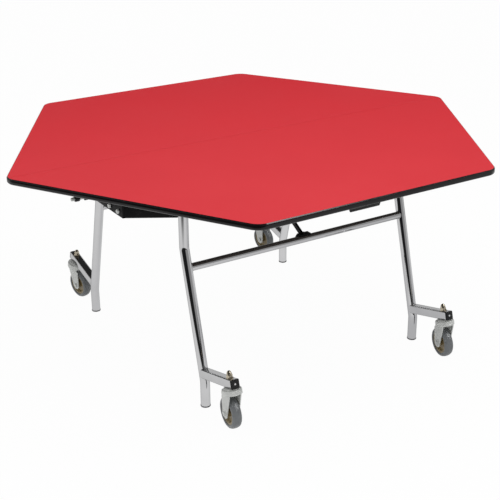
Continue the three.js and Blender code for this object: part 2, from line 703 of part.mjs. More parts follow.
function casterFork() {
  const bore = boreFor(STEM_RADIUS, TUBE_SIDES);
  const head = turned([
    [bore, FORK_PLATE_LOW],
    [FORK_HEAD_RADIUS - FORK_SKIRT_WALL, FORK_PLATE_LOW],
    [FORK_HEAD_RADIUS - FORK_SKIRT_WALL, FORK_TOP - FORK_SKIRT_HEIGHT],
    [FORK_HEAD_RADIUS, FORK_TOP - FORK_SKIRT_HEIGHT],
    [FORK_HEAD_RADIUS, FORK_TOP - FORK_HEAD_CHAMFER],
    [FORK_HEAD_RADIUS - FORK_HEAD_CHAMFER, FORK_TOP],
    [bore, FORK_TOP],
    [bore, FORK_PLATE_LOW],
  ], TUBE_SIDES);
  const legTop = FORK_TOP - FORK_HEAD_CHAMFER;
  const side = new THREE.Shape();
  side.moveTo(-FORK_LEG_HALF, legTop);
  side.lineTo(-FORK_LEG_HALF, FORK_TOP - FORK_SKIRT_HEIGHT);
  side.absarc(WHEEL_TRAIL, -WHEEL_DROP, FORK_EYE_RADIUS, -Math.PI, FORK_EYE_TO, false);
  side.lineTo(FORK_LEG_HALF, FORK_TOP - FORK_SKIRT_HEIGHT);
  side.lineTo(FORK_LEG_HALF, legTop);
  side.closePath();
  const axleEnd = FORK_LEG_OUTER + AXLE_END_LENGTH;
  const axleSeat = (FORK_LEG_INNER + FORK_LEG_OUTER) / 2;
  return join(
    head,
    acrossX(side, -FORK_LEG_OUTER, -FORK_LEG_INNER),
    acrossX(side, FORK_LEG_INNER, FORK_LEG_OUTER),
    rodAlongX(AXLE_RADIUS, -axleEnd, axleEnd, WHEEL_TRAIL, -WHEEL_DROP),
    rodAlongX(AXLE_END_RADIUS, axleSeat, axleEnd, WHEEL_TRAIL, -WHEEL_DROP, HEX_SIDES),
    rodAlongX(AXLE_END_RADIUS, -axleEnd, -axleSeat, WHEEL_TRAIL, -WHEEL_DROP, HEX_SIDES),
  );
}

function alongAxle(profile) {
  const ring = turned(profile, WHEEL_SIDES);
  return ring.rotateY(Math.PI / 2).translate(0, WHEEL_TRAIL, -WHEEL_DROP);
}

function wheelHub() {
  const bore = boreFor(AXLE_RADIUS, WHEEL_SIDES);
  const boss = FORK_LEG_INNER - HUB_BOSS_CLEARANCE;
  const web = HUB_WEB_THICKNESS / 2;
  const rim = WHEEL_WIDTH / 2 - HUB_RIM_INSET;
  const outer = TYRE_BORE - FIT;
  const rimInner = outer - HUB_RIM_THICKNESS;
  return alongAxle([
    [bore, -boss],
    [HUB_BOSS_RADIUS, -boss],
    [HUB_BOSS_RADIUS, -web],
    [rimInner, -web],
    [rimInner, -rim],
    [outer, -rim],
    [outer, rim],
    [rimInner, rim],
    [rimInner, web],
    [HUB_BOSS_RADIUS, web],
    [HUB_BOSS_RADIUS, boss],
    [bore, boss],
    [bore, -boss],
  ]);
}

function tyre() {
  const half = WHEEL_WIDTH / 2;
  return alongAxle([
    [TYRE_BORE, -half],
    [WHEEL_RADIUS - TYRE_SHOULDER, -half],
    [WHEEL_RADIUS - TYRE_CROWN, -half + TYRE_SHOULDER],
    [WHEEL_RADIUS, 0],
    [WHEEL_RADIUS - TYRE_CROWN, half - TYRE_SHOULDER],
    [WHEEL_RADIUS - TYRE_SHOULDER, half],
    [TYRE_BORE, half],
    [TYRE_BORE, -half],
  ]);
}

function caster(name) {
  const group = new THREE.Group();
  const swivel = new THREE.Group();
  swivel.rotation.z = SWIVEL_TURN[name];
  swivel.add(
    node(`${name}_caster_fork`, casterFork(), 'zinc'),
    node(`${name}_wheel_hub`, wheelHub(), 'tanPlastic'),
    node(`${name}_tyre`, tyre(), 'greyRubber'),
  );
  group.add(node(`${name}_stem_nut`, stemNut(), 'zinc'), swivel);
  group.position.set(0, -STEM_OUT, 0);
  return group;
}

// One leg of a frame with its glide, caster arm and caster
function legSide(name, x) {
  const group = new THREE.Group();
  const glide = node(`${name}_foot_glide`, footGlide(), 'greyGlide');
  glide.position.set(0, -FOOT_OUT, 0);
  const arm = new THREE.Group();
  arm.position.set(0, -legOutAt(ARM_ROOT_HEIGHT), ARM_ROOT_HEIGHT);
  arm.rotation.x = -LEG_SPLAY;
  arm.add(
    node(`${name}_caster_arm`, casterArm(), 'chrome'),
    node(`${name}_arm_cap`, armCap(), 'blackPlastic'),
    caster(name),
  );
  group.add(node(`${name}_leg`, leg(), 'chrome'), glide, arm);
  group.position.x = x;
  return group;
}

// One half of the table, built as the front half
function tableHalf(half, sides) {
  const [nearLeft, nearRight] = sides.map((side) => `${half}_${side}`);
  const outerPlate = hingePlate(-HINGE_HALF_SPAN, -HINGE_OUTER_INNER_FACE, 1);
  const innerPlate = hingePlate(HINGE_INNER_INNER_FACE, HINGE_INNER_OUTER_FACE, -1);
  const group = new THREE.Group();
  group.add(
    node(`${half}_top_panel`, topPanel(), 'laminate'),
    node(`${half}_edge_band`, edgeBand(), 'edging'),
    node(`${half}_apron`, apron(), 'blackSteel'),
    node(`${nearLeft}_hinge_plate`, outerPlate, 'blackSteel'),
    node(`${nearRight}_hinge_plate`, innerPlate, 'blackSteel'),
    node(`${half}_grip`, grip(), 'blackPlastic'),
    node(`${half}_crossbar`, crossbar(), 'chrome'),
  );
  for (const [name, x] of [[nearLeft, -LEG_HALF_SPACING], [nearRight, LEG_HALF_SPACING]]) {
    const bracket = node(`${name}_leg_bracket`, legBracket(), 'blackSteel');
    bracket.position.x = x;
    group.add(bracket, legSide(name, x));
  }
  const clevis = node(`${half}_link_clevis`, linkClevis(), 'blackSteel');
  clevis.position.x = -LINK_OFFSET;
  const saddle = node(`${half}_link_saddle`, linkSaddle(), 'blackSteel');
  saddle.position.x = LINK_OFFSET;
  const link = node(`${half}_fold_link`, foldLink(), 'blackSteel');
  link.position.x = LINK_OFFSET;
  group.add(clevis, saddle, link);
  return group;
}

const table = new THREE.Group();
const front = tableHalf('front', ['left', 'right']);
const rear = tableHalf('rear', ['right', 'left']);
rear.rotation.z = Math.PI;
table.add(
  front,
  rear,
  node('left_fold_pin', foldPin(-1), 'zinc'),
  node('right_fold_pin', foldPin(1), 'zinc'),
);

export default table;
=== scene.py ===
"""Looks of a hexagonal mobile folding cafeteria table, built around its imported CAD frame."""
import json
import math

import bmesh
import bpy
from bpy.props import FloatProperty, FloatVectorProperty, IntProperty, PointerProperty
from mathutils import Matrix, Vector

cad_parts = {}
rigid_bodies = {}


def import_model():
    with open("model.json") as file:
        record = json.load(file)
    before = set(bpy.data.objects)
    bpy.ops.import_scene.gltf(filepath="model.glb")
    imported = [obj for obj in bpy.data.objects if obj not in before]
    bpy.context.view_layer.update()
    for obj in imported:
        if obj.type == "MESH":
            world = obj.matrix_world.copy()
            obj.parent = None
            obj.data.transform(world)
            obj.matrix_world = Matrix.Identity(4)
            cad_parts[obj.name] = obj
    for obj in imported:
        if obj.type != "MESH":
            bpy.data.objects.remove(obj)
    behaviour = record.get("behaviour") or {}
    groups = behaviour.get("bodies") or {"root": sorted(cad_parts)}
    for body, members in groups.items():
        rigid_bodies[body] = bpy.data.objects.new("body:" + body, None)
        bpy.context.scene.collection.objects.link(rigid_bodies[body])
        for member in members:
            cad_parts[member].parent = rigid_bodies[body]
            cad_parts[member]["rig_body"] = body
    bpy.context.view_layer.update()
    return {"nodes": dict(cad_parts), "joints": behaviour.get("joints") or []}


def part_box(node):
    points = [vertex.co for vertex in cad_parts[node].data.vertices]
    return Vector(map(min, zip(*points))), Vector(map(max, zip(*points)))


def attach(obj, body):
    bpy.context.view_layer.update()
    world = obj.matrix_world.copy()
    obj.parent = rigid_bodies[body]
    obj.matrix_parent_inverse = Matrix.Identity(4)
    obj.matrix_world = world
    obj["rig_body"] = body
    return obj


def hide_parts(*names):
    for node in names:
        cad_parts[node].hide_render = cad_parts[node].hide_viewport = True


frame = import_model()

bl_info = {
    "name": "Mobile Folding Table Looks",
    "version": (1, 0, 0),
    "blender": (4, 5, 0),
    "location": "View3D > Sidebar > Folding Table",
    "description": "Dresses the packed frame of a hexagonal mobile folding table",
    "category": "Object",
}

JOINTS = {joint["name"]: joint for joint in frame["joints"]}
HALVES = {"front": -1, "rear": 1}
SIDES = {"left": -1, "right": 1}
CORNERS = [f"{half}_{side}" for half in HALVES for side in SIDES]
MATERIALS = {}
ROUND_SIDES = 32
# Smallest gap between neighbours, overlap of joined shapes and merging distance, in metres
HAIR = 0.0001
OVERLAP = 0.001
MERGE = 1e-6
SMOOTH_ANGLE = math.radians(32)


def spread(node, axis):
    """Size of a CAD node along one axis."""
    low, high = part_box(node)
    return high[axis] - low[axis]


def middle(node):
    """Middle of a CAD node's box."""
    low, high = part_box(node)
    return (low + high) / 2


UNDERSIDE_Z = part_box("front_top_panel")[0].z
TOP_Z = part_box("front_top_panel")[1].z
ACROSS_FLATS = 2 * -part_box("front_edge_band")[0].y
SEAM_HALF = -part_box("front_top_panel")[1].y
PANEL_INSET = ACROSS_FLATS / 2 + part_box("front_top_panel")[0].y
FOLD_Z = JOINTS["table_fold"]["pos_m"][2]
LEG_X = middle("front_right_leg").x
LEG_RADIUS = spread("front_left_leg", 0) / 2
LEG_FOOT_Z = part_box("front_left_leg")[0].z
LEG_TOP_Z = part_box("front_left_leg")[1].z
FOOT_OUT = -middle("front_left_foot_glide").y
PIVOT_OUT = -JOINTS["front_leg_fold"]["pos_m"][1]
CROSSBAR_OUT = -middle("front_crossbar").y
CROSSBAR_Z = middle("front_crossbar").z
CROSSBAR_RADIUS = spread("front_crossbar", 2) / 2
# Where the welded ends sit inside the legs, from the leg's axis
CROSSBAR_INSET = 0.6 * LEG_RADIUS
ARM_INSET = 0.5 * LEG_RADIUS


# Settings shown in the sidebar
def number(name, description, default, **options):
    return FloatProperty(name=name, description=description, default=default, **options)


def length(name, description, default):
    return number(name, description, default, unit="LENGTH", precision=4)


def angle(name, description, default):
    return number(name, description, default, subtype="ANGLE")


def facets(name, description, default):
    return IntProperty(name=name, description=description, default=default, min=4)


def spot(name, description, default):
    return FloatVectorProperty(name=name, description=description, default=default, subtype="TRANSLATION",
                               unit="LENGTH")


def colour(name, description, srgb):
    return FloatVectorProperty(
        name=name, description=description, default=tuple(linear(c) for c in srgb),
        subtype="COLOR", size=3, min=0.0, max=1.0,
    )


def linear(channel):
    """Linear value of an sRGB channel from 0 to 255."""
    c = channel / 255
    return c / 12.92 if c <= 0.04045 else ((c + 0.055) / 1.055) ** 2.4


class TableTopSizes(bpy.types.PropertyGroup):
    corner_radius: length("Corner radius", "Radius of the top's corners", 0.050)
    laminate: length("Laminate", "Thickness of the red sheet", 0.0010)
    backer: length("Backer", "Thickness of the sheet under the core", 0.0008)
    lip: length("Lip", "How far the edge band's rounding reaches over its face", 0.0028)
    lip_height: length("Lip height", "Height of the edge band's rounding", 0.0036)
    lip_flatness: number("Lip flatness", "1 for a round lip, 2 for a plain chamfer", 1.7, min=1.0, max=2.0)
    corner_steps: facets("Corner steps", "Facets on each corner", 16)


class TablePinSizes(bpy.types.PropertyGroup):
    radius: length("Radius", "Radius of the fold pin", 0.006)
    tip: length("Tip", "Length of the bright tip outside the knob", 0.011)
    knob: length("Knob", "Length of the knob", 0.018)
    knob_radius: length("Knob radius", "Radius of the knob", 0.010)
    clip: length("Clip", "Thickness of the clip inside the plates", 0.005)
    clip_radius: length("Clip radius", "Radius of the clip", 0.009)
    softening: length("Softening", "Size of the rounded edges", 0.0008)


class TableLegSizes(bpy.types.PropertyGroup):
    upper_bend: length("Upper bend", "Height of the upper bend", 0.515)
    lower_bend: length("Lower bend", "Height of the lower bend", 0.090)
    bend_radius: length("Bend radius", "Radius of the tube's bends on its axis", 0.060)
    sides: facets("Sides", "Facets round each tube", 48)
    weld: length("Weld", "Thickness of the weld beads", 0.0022)
    arm_size: length("Arm size", "Side of the square caster arms", spread("front_left_caster_arm", 0))
    arm_corner: length("Arm corner", "Corner radius of the caster arms", 0.0045)
    arm_length: length("Arm length", "From the leg's axis to the caster's stem", 0.172)
    arm_overhang: length("Arm overhang", "From the caster's stem to the arm's end", 0.025)


class TableCasterSizes(bpy.types.PropertyGroup):
    stem_radius: length("Stem radius", "Radius of the stem in the swivel head", 0.006)
    raceway: length("Raceway", "Thickness of the raceway under the arm", 0.003)
    raceway_radius: length("Raceway radius", "Radius of the raceway", 0.025)
    head_radius: length("Head radius", "Radius of the swivel head", 0.0325)
    head_height: length("Head height", "Height of the swivel head", 0.017)
    fork_gap: length("Fork gap", "Half of the gap between the fork's legs", 0.0185)
    fork_sheet: length("Fork sheet", "Thickness of the fork's sheet", 0.003)
    fork_front: length("Fork front", "From the stem to the front edge of the fork's legs", 0.024)
    fork_back: length("Fork back", "From the stem to the back edge of the fork's legs", 0.021)
    shoulder: length("Shoulder", "From the stem to the shoulder on the front edge", 0.038)
    eye: length("Eye", "Radius of the fork's legs round the axle", 0.017)
    axle_radius: length("Axle radius", "Radius of the axle bolt", 0.0042)
    wheel_radius: length("Wheel radius", "Radius over the tyre", 0.053)
    wheel_width: length("Wheel width", "Width of the tyre", 0.032)
    tread_drop: length("Tread drop", "How far the tread's crown falls to its sides", 0.0105)
    tyre_bore: length("Tyre bore", "Radius where the tyre meets the hub", 0.0392)
    sides: facets("Sides", "Facets round each wheel and swivel head", 64)


class TableFastenerSizes(bpy.types.PropertyGroup):
    crown: number("Crown", "Top of each head as a share of its foot", 0.78, min=0.1, max=1.0)
    bolt_radius: length("Bolt radius", "Radius of the hinge plates' bolt heads", 0.0085)
    bolt_height: length("Bolt height", "Height of the hinge plates' bolt heads", 0.005)
    bolt_z: length("Bolt level", "Height of the hinge bolts over the floor", 0.661)
    bolt_near: length("Near bolt", "From the fold to the nearer hinge bolt", 0.199)
    bolt_far: length("Far bolt", "From the fold to the farther hinge bolt", 0.258)
    pin_radius: length("Pin radius", "Radius of the heads of the link pins", 0.0055)
    pin_height: length("Pin height", "Height of the heads of the link pins", 0.0022)
    cheek: length("Cheek", "From the middle of a link to the outside of its saddle cheek", 0.0091)
    screw_radius: length("Screw radius", "Radius of the flange screws' heads", 0.0045)
    screw_height: length("Screw height", "Height of the flange screws' heads", 0.0024)
    apron_screws: facets("Apron screws", "Screws along each apron", 8)
    apron_margin: length("Apron margin", "From an apron's end to its first screw", 0.06)


class TableColours(bpy.types.PropertyGroup):
    laminate: colour("Laminate", "Red of the top", (216, 53, 61))
    laminate_shade: colour("Laminate shade", "Darker red in the top's clouding", (213, 51, 59))
    edging: colour("Edging", "Black of the edge band", (15, 14, 15))
    steel: colour("Steel", "Black powder coat under the top", (8, 8, 9))
    chrome: colour("Chrome", "Tint of the chrome", (200, 200, 201))
    zinc: colour("Zinc", "Tint of the zinc plate", (216, 218, 215))
    warm_zinc: colour("Warm zinc", "Tint of the stem nuts", (200, 190, 170))
    plastic: colour("Plastic", "Black of caps and grips", (14, 14, 15))
    glide: colour("Glide", "Grey of the foot glides", (120, 120, 122))
    rubber: colour("Rubber", "Grey of the tyres", (116, 119, 121))
    hub: colour("Hub", "Tan of the wheel hubs", (140, 124, 88))
    core: colour("Core", "Sealed edge of the particle board", (30, 28, 27))
    backer: colour("Backer", "Brown of the backing sheet", (52, 44, 38))
    rivet: colour("Rivet", "White of the rivets in the end caps", (228.5, 228.5, 228.5))
    dust: colour("Dust", "Pale grey of dust and rubbed spots", (206.4, 204.9, 200.4))


class TableStageSettings(bpy.types.PropertyGroup):
    camera_at: spot("Camera place", "Where the camera stands", (-1.9108754, -3.0651836, 1.8157083))
    azimuth: angle("Azimuth", "Turn of the view from +Y to +X", 0.5588)
    pitch: angle("Pitch", "How far the view looks down", 0.3976)
    roll: angle("Roll", "Turn about the view", -0.0085)
    lens: number("Lens", "Focal length in millimetres on a 36 mm sensor", 77.715)
    dome_light: number("Dome light", "Strength of the soft light all round", 0.58)
    key_power: number("Key light", "Power of the large overhead light", 48.0, unit="POWER")
    key_size: length("Key size", "Side of the overhead light", 3.0)
    key_at: spot("Key place", "Where the overhead light hangs", (0.1, -0.9, 3.4))
    fill_power: number("Side light", "Power of the low light on the left", 8.0, unit="POWER")
    fill_size: length("Side light size", "Side of the low light", 1.6)
    fill_at: spot("Side light place", "Where the low light stands", (-3.0, -1.6, 1.2))
    aim: length("Aim", "Height over the middle of the floor that the lights point at", 0.6)
    dark_turn: angle("Dark side", "Turn of the unlit side of the studio to the camera's left", math.radians(17))
    sweep: length("Sweep", "How far the lit floor reaches toward the unlit side", 1.75)
    floor_reach: length("Floor reach", "Half of the floor's side", 14.0)
    floor_glow: number("Floor glow", "Share of plain white in the floor", 0.97, min=0.0, max=1.0)


# Node helpers
def add_node(tree, kind, inputs=None, output=0, **settings):
    """Adds a node, links or sets its inputs, given by name or number, and returns one of its outputs."""
    node = tree.nodes.new(kind)
    for name, value in settings.items():
        setattr(node, name, value)
    for key, value in (inputs or {}).items():
        if isinstance(value, bpy.types.NodeSocket):
            tree.links.new(value, node.inputs[key])
        else:
            node.inputs[key].default_value = value
    return node.outputs[output]


def noise(tree, scale, vector, detail=3.0, roughness=0.5):
    return add_node(tree, "ShaderNodeTexNoise",
                    {"Vector": vector, "Scale": scale, "Detail": detail, "Roughness": roughness}, "Fac")


def remap(tree, value, low, high, to_low=0.0, to_high=1.0):
    return add_node(tree, "ShaderNodeMapRange", {"Value": value, "From Min": low, "From Max": high,
                                                 "To Min": to_low, "To Max": to_high}, "Result")


def multiply(tree, *factors):
    """Product of two or more sockets or numbers."""
    product = factors[0]
    for factor in factors[1:]:
        product = add_node(tree, "ShaderNodeMath", {0: product, 1: factor}, operation="MULTIPLY")
    return product


def mixed_colour(tree, factor, first, second):
    """Mixes two colours, each a socket, a linear colour or a grey level."""
    def value(given):
        if isinstance(given, bpy.types.NodeSocket):
            return given
        return (given, given, given, 1.0) if isinstance(given, float) else (*given, 1.0)

    return add_node(tree, "ShaderNodeMix", {"Factor": factor, 6: value(first), 7: value(second)}, 2,
                    data_type="RGBA")


def fade(tree, value, edge, first, second):
    """Goes from one colour to another as a value crosses an edge, given as its start and end."""
    return mixed_colour(tree, remap(tree, value, *edge), first, second)


def along(tree, place, direction):
    """How far a place or direction lies along a fixed direction."""
    return add_node(tree, "ShaderNodeVectorMath", {0: place, 1: direction}, "Value", operation="DOT_PRODUCT")


def object_coordinates(tree):
    return add_node(tree, "ShaderNodeTexCoord", output="Object")


# Finishes
def node_group(name, inputs, outputs):
    """A shader node group with float inputs, given with their defaults, and float outputs."""
    tree = bpy.data.node_groups.new(name, "ShaderNodeTree")
    for label, default in inputs.items():
        socket = tree.interface.new_socket(label, in_out="INPUT", socket_type="NodeSocketFloat")
        socket.default_value = default
    for label in outputs:
        tree.interface.new_socket(label, in_out="OUTPUT", socket_type="NodeSocketFloat")
    return tree, tree.nodes.new("NodeGroupInput").outputs, tree.nodes.new("NodeGroupOutput").inputs


def grain_group():
    """Broad clouding and a fine grain, both from 0 to 1."""
    scales = {"Cloud Scale": 6.0, "Grain Scale": 900.0}
    tree, given, result = node_group("surface_grain", scales, ["Cloud", "Grain"])
    place = object_coordinates(tree)
    for label, detail in (("Cloud", 4.0), ("Grain", 2.0)):
        pattern = noise(tree, given[f"{label} Scale"], place, detail)
        tree.links.new(remap(tree, pattern, low=0.3, high=0.7), result[label])


def scuff_group():
    """Sparse rubbed spots, from 0 to 1."""
    tree, given, result = node_group("rubbed_spots", {"Scale": 60.0, "Amount": 0.3}, ["Mask"])
    place = object_coordinates(tree)
    broad = remap(tree, noise(tree, 9.0, place, detail=2.0), low=0.5, high=0.72)
    fine = remap(tree, noise(tree, given["Scale"], place, detail=6.0, roughness=0.7), low=0.52, high=0.66)
    tree.links.new(multiply(tree, broad, fine, given["Amount"]), result["Mask"])


def dust_group():
    """A thin film of dust on faces that look up, from 0 to 1."""
    tree, given, result = node_group("settled_dust", {"Amount": 0.2}, ["Mask"])
    normal = add_node(tree, "ShaderNodeNewGeometry", output="Normal")
    upward = remap(tree, add_node(tree, "ShaderNodeSeparateXYZ", {"Vector": normal}, "Z"), low=0.3, high=1.0)
    film = remap(tree, noise(tree, 40.0, object_coordinates(tree), detail=5.0), low=0.35, high=0.75)
    tree.links.new(multiply(tree, upward, film, given["Amount"]), result["Mask"])


def placed_group(tree, name, **values):
    """Places a shared node group with its own values, and returns its outputs."""
    node = tree.nodes.new("ShaderNodeGroup")
    node.node_tree = bpy.data.node_groups[name]
    for label, value in values.items():
        node.inputs[label.replace("_", " ")].default_value = value
    return node.outputs


def new_material(name, **sockets):
    """A Principled material with plain socket values; returns its tree and shader."""
    material = bpy.data.materials.new(name)
    material.use_nodes = True
    shader = material.node_tree.nodes["Principled BSDF"]
    for label, value in sockets.items():
        shader.inputs[label.replace("_", " ")].default_value = value
    MATERIALS[name] = material
    return material.node_tree, shader


def finish(name, base, shade, rough, grain, bump, dust=0.0, scuff=0.0, **sockets):
    """One finish: clouded colour, roughness that follows the cloud, fine bump, rubbed spots and dust.

    rough is a range, grain the scales of the cloud and of the grain, bump a strength and a distance.
    """
    tree, shader = new_material(name, **sockets)
    pale = bpy.context.scene.table_colours.dust
    pattern = placed_group(tree, "surface_grain", Cloud_Scale=grain[0], Grain_Scale=grain[1])
    tint = mixed_colour(tree, pattern["Cloud"], base, shade)
    if scuff:
        spots = placed_group(tree, "rubbed_spots", Scale=70.0, Amount=scuff)
        tint = mixed_colour(tree, spots["Mask"], tint, pale)
    if dust:
        film = placed_group(tree, "settled_dust", Amount=dust)
        tint = mixed_colour(tree, film["Mask"], tint, pale)
    tree.links.new(tint, shader.inputs["Base Color"])
    tree.links.new(remap(tree, pattern["Cloud"], 0.0, 1.0, *rough), shader.inputs["Roughness"])
    strength, distance = bump
    normal = add_node(tree, "ShaderNodeBump",
                      {"Height": pattern["Grain"], "Strength": strength, "Distance": distance})
    tree.links.new(normal, shader.inputs["Normal"])


def shaded(rgb, factor):
    """A colour made darker or lighter."""
    return tuple(channel * factor for channel in rgb)


class TABLE_OT_finishes(bpy.types.Operator):
    """Makes the shared node groups and every finish of the table"""
    bl_idname = "table.finishes"
    bl_label = "Make finishes"

    def execute(self, context):
        c = context.scene.table_colours
        grain_group()
        scuff_group()
        dust_group()
        finish("red_laminate", c.laminate, c.laminate_shade, rough=(0.13, 0.18), grain=(3.0, 1400.0),
               bump=(0.05, 0.0003), Specular_IOR_Level=0.020)
        finish("black_edging", c.edging, shaded(c.edging, 1.6), rough=(0.12, 0.18), grain=(20.0, 700.0),
               bump=(0.03, 0.0003), dust=0.02, Specular_IOR_Level=0.28)
        finish("black_powder_coat", c.steel, shaded(c.steel, 1.5), rough=(0.42, 0.58), grain=(25.0, 1100.0),
               bump=(0.2, 0.0005), dust=0.02, scuff=0.1, Specular_IOR_Level=0.12)
        finish("bright_chrome", c.chrome, shaded(c.chrome, 0.95), rough=(0.035, 0.075), grain=(18.0, 400.0),
               bump=(0.01, 0.0002), Metallic=1.0, Specular_Tint=(0.6, 0.6, 0.6, 1.0))
        finish("zinc_plate", c.zinc, shaded(c.zinc, 0.93), rough=(0.4, 0.5), grain=(40.0, 500.0),
               bump=(0.03, 0.0002), Metallic=0.2)
        finish("warm_zinc", c.warm_zinc, shaded(c.warm_zinc, 0.8), rough=(0.2, 0.34), grain=(80.0, 900.0),
               bump=(0.08, 0.0004), Metallic=1.0)
        finish("black_plastic", c.plastic, shaded(c.plastic, 1.6), rough=(0.4, 0.55), grain=(30.0, 900.0),
               bump=(0.15, 0.0004), scuff=0.15, Specular_IOR_Level=0.3)
        finish("grey_glide", c.glide, shaded(c.glide, 0.8), rough=(0.45, 0.6), grain=(50.0, 900.0),
               bump=(0.12, 0.0004))
        finish("grey_rubber", c.rubber, shaded(c.rubber, 0.93), rough=(0.3, 0.4), grain=(40.0, 500.0),
               bump=(0.05, 0.0003), dust=0.06, scuff=0.12)
        finish("tan_hub", c.hub, shaded(c.hub, 0.9), rough=(0.32, 0.42), grain=(40.0, 500.0),
               bump=(0.04, 0.0003))
        finish("sealed_core", c.core, shaded(c.core, 1.5), rough=(0.5, 0.65), grain=(120.0, 500.0),
               bump=(0.4, 0.0010))
        finish("backing_sheet", c.backer, shaded(c.backer, 1.3), rough=(0.5, 0.62), grain=(10.0, 700.0),
               bump=(0.1, 0.0004))
        finish("white_rivet", c.rivet, shaded(c.rivet, 0.897), rough=(0.3, 0.4), grain=(90.0, 900.0),
               bump=(0.05, 0.0003))
        return {"FINISHED"}


# Mesh helpers
def made(name, bm, *dress):
    """Turns a bmesh into a piece; dress is its finish, body, slot, which is not used, and the nodes it
    replaces.
    """
    bmesh.ops.remove_doubles(bm, verts=bm.verts, dist=MERGE)
    bmesh.ops.recalc_face_normals(bm, faces=bm.faces)
    return dressed(name, bm, *dress)


def dressed(name, shape, finish_name, body, slot, *replaced):
    """Links a bmesh or a finished mesh as a piece, with smooth shading across gentle edges."""
    mesh = shape
    if isinstance(shape, bmesh.types.BMesh):
        mesh = bpy.data.meshes.new(name)
        shape.to_mesh(mesh)
        shape.free()
    piece = bpy.data.objects.new(name, mesh)
    bpy.context.scene.collection.objects.link(piece)
    mesh.materials.clear()
    mesh.materials.append(MATERIALS[finish_name])
    mesh.shade_smooth()
    mesh.set_sharp_from_angle(angle=SMOOTH_ANGLE)
    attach(piece, body)
    if replaced:
        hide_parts(*replaced)
    return piece


def loft(bm, rings):
    """Joins closed rings of points in order, with a cap on the first and the last."""
    rows = [[bm.verts.new(point) for point in ring] for ring in rings]
    count = len(rows[0])
    for low, high in zip(rows, rows[1:]):
        for i in range(count):
            j = (i + 1) % count
            bm.faces.new((low[i], low[j], high[j], high[i]))
    bm.faces.new(rows[0])
    bm.faces.new(reversed(rows[-1]))


def lathe(bm, profile, place, sides):
    """Turns a profile of radius and height about the Z axis of a frame; on-axis ends close in a pole."""
    def ring(radius, height):
        if not radius:
            return [bm.verts.new(place @ Vector((0, 0, height)))]
        turn = 2 * math.pi / sides
        return [bm.verts.new(place @ Vector((radius * math.cos(i * turn), radius * math.sin(i * turn), height)))
                for i in range(sides)]

    rows = [ring(*pair) for pair in profile]
    for low, high in zip(rows, rows[1:]):
        for i in range(sides):
            j = (i + 1) % sides
            corners = [low[i % len(low)], low[j % len(low)], high[j % len(high)], high[i % len(high)]]
            unique = list(dict.fromkeys(corners))
            if len(unique) > 2:
                bm.faces.new(unique)


def turned(name, profile, place, sides, *dress):
    """A piece turned from one profile."""
    bm = bmesh.new()
    lathe(bm, profile, place, sides)
    return made(name, bm, *dress)


def lofted(name, rings, *dress):
    """A piece joined from closed rings."""
    bm = bmesh.new()
    loft(bm, rings)
    return made(name, bm, *dress)


def extruded(bm, outline, place, low, high):
    """A prism: an outline in a frame's XY plane, from one height to another."""
    loft(bm, [[place @ Vector((x, y, z)) for x, y in outline] for z in (low, high)])


def arc(cx, cy, radius, start, end, steps):
    """Points along an arc, both ends included."""
    return [(cx + radius * math.cos(start + (end - start) * i / steps),
             cy + radius * math.sin(start + (end - start) * i / steps)) for i in range(steps + 1)]


def hexagon(radius):
    """Corners of a hexagon, with the radius over its corners."""
    return [(radius * math.cos(math.pi / 3 * i), radius * math.sin(math.pi / 3 * i)) for i in range(6)]


def rounded_square(half, radius, steps=5):
    """Outline of a square with rounded corners, from half of its side."""
    inner = half - radius
    points = []
    for quarter, (sx, sy) in enumerate(((1, 1), (-1, 1), (-1, -1), (1, -1))):
        start = quarter * math.pi / 2
        points += arc(sx * inner, sy * inner, radius, start, start + math.pi / 2, steps)
    return points


def softened(node, finish_name, slot, width):
    """Stands for a CAD node with the same shape and small rounded edges."""
    flat, sharp = math.radians(1), math.radians(40)
    source = frame["nodes"][node]
    bm = bmesh.new()
    bm.from_mesh(source.data)
    bmesh.ops.remove_doubles(bm, verts=bm.verts, dist=MERGE)
    bmesh.ops.dissolve_limit(bm, angle_limit=flat, verts=bm.verts, edges=bm.edges)
    edges = [edge for edge in bm.edges if edge.is_manifold and edge.calc_face_angle(0) > sharp]
    bmesh.ops.bevel(bm, geom=edges, offset=width, segments=2, profile=0.5, affect="EDGES", clamp_overlap=True)
    bmesh.ops.recalc_face_normals(bm, faces=bm.faces)
    return dressed(f"{node}_look", bm, finish_name, source["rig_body"], slot, node)


# The top
HALF_TURN = {"front": Matrix.Identity(4), "rear": Matrix.Rotation(math.pi, 4, "Z")}


def half_outline(inset, radius, steps):
    """Outer edge of the front half, from the left end of the seam round to the right end."""
    reach = (ACROSS_FLATS / 2 - radius) / math.cos(math.pi / 6)
    bend = radius - inset
    seam_turn = math.degrees(math.asin(SEAM_HALF / bend))
    points = []
    for corner in (180, 240, 300, 360):
        start = max(corner - 30, 180 + seam_turn)
        end = min(corner + 30, 360 - seam_turn)
        a = math.radians(corner)
        count = steps if end - start > 45 else steps // 2
        points += arc(reach * math.cos(a), reach * math.sin(a), bend, math.radians(start), math.radians(end),
                      count)
    return points


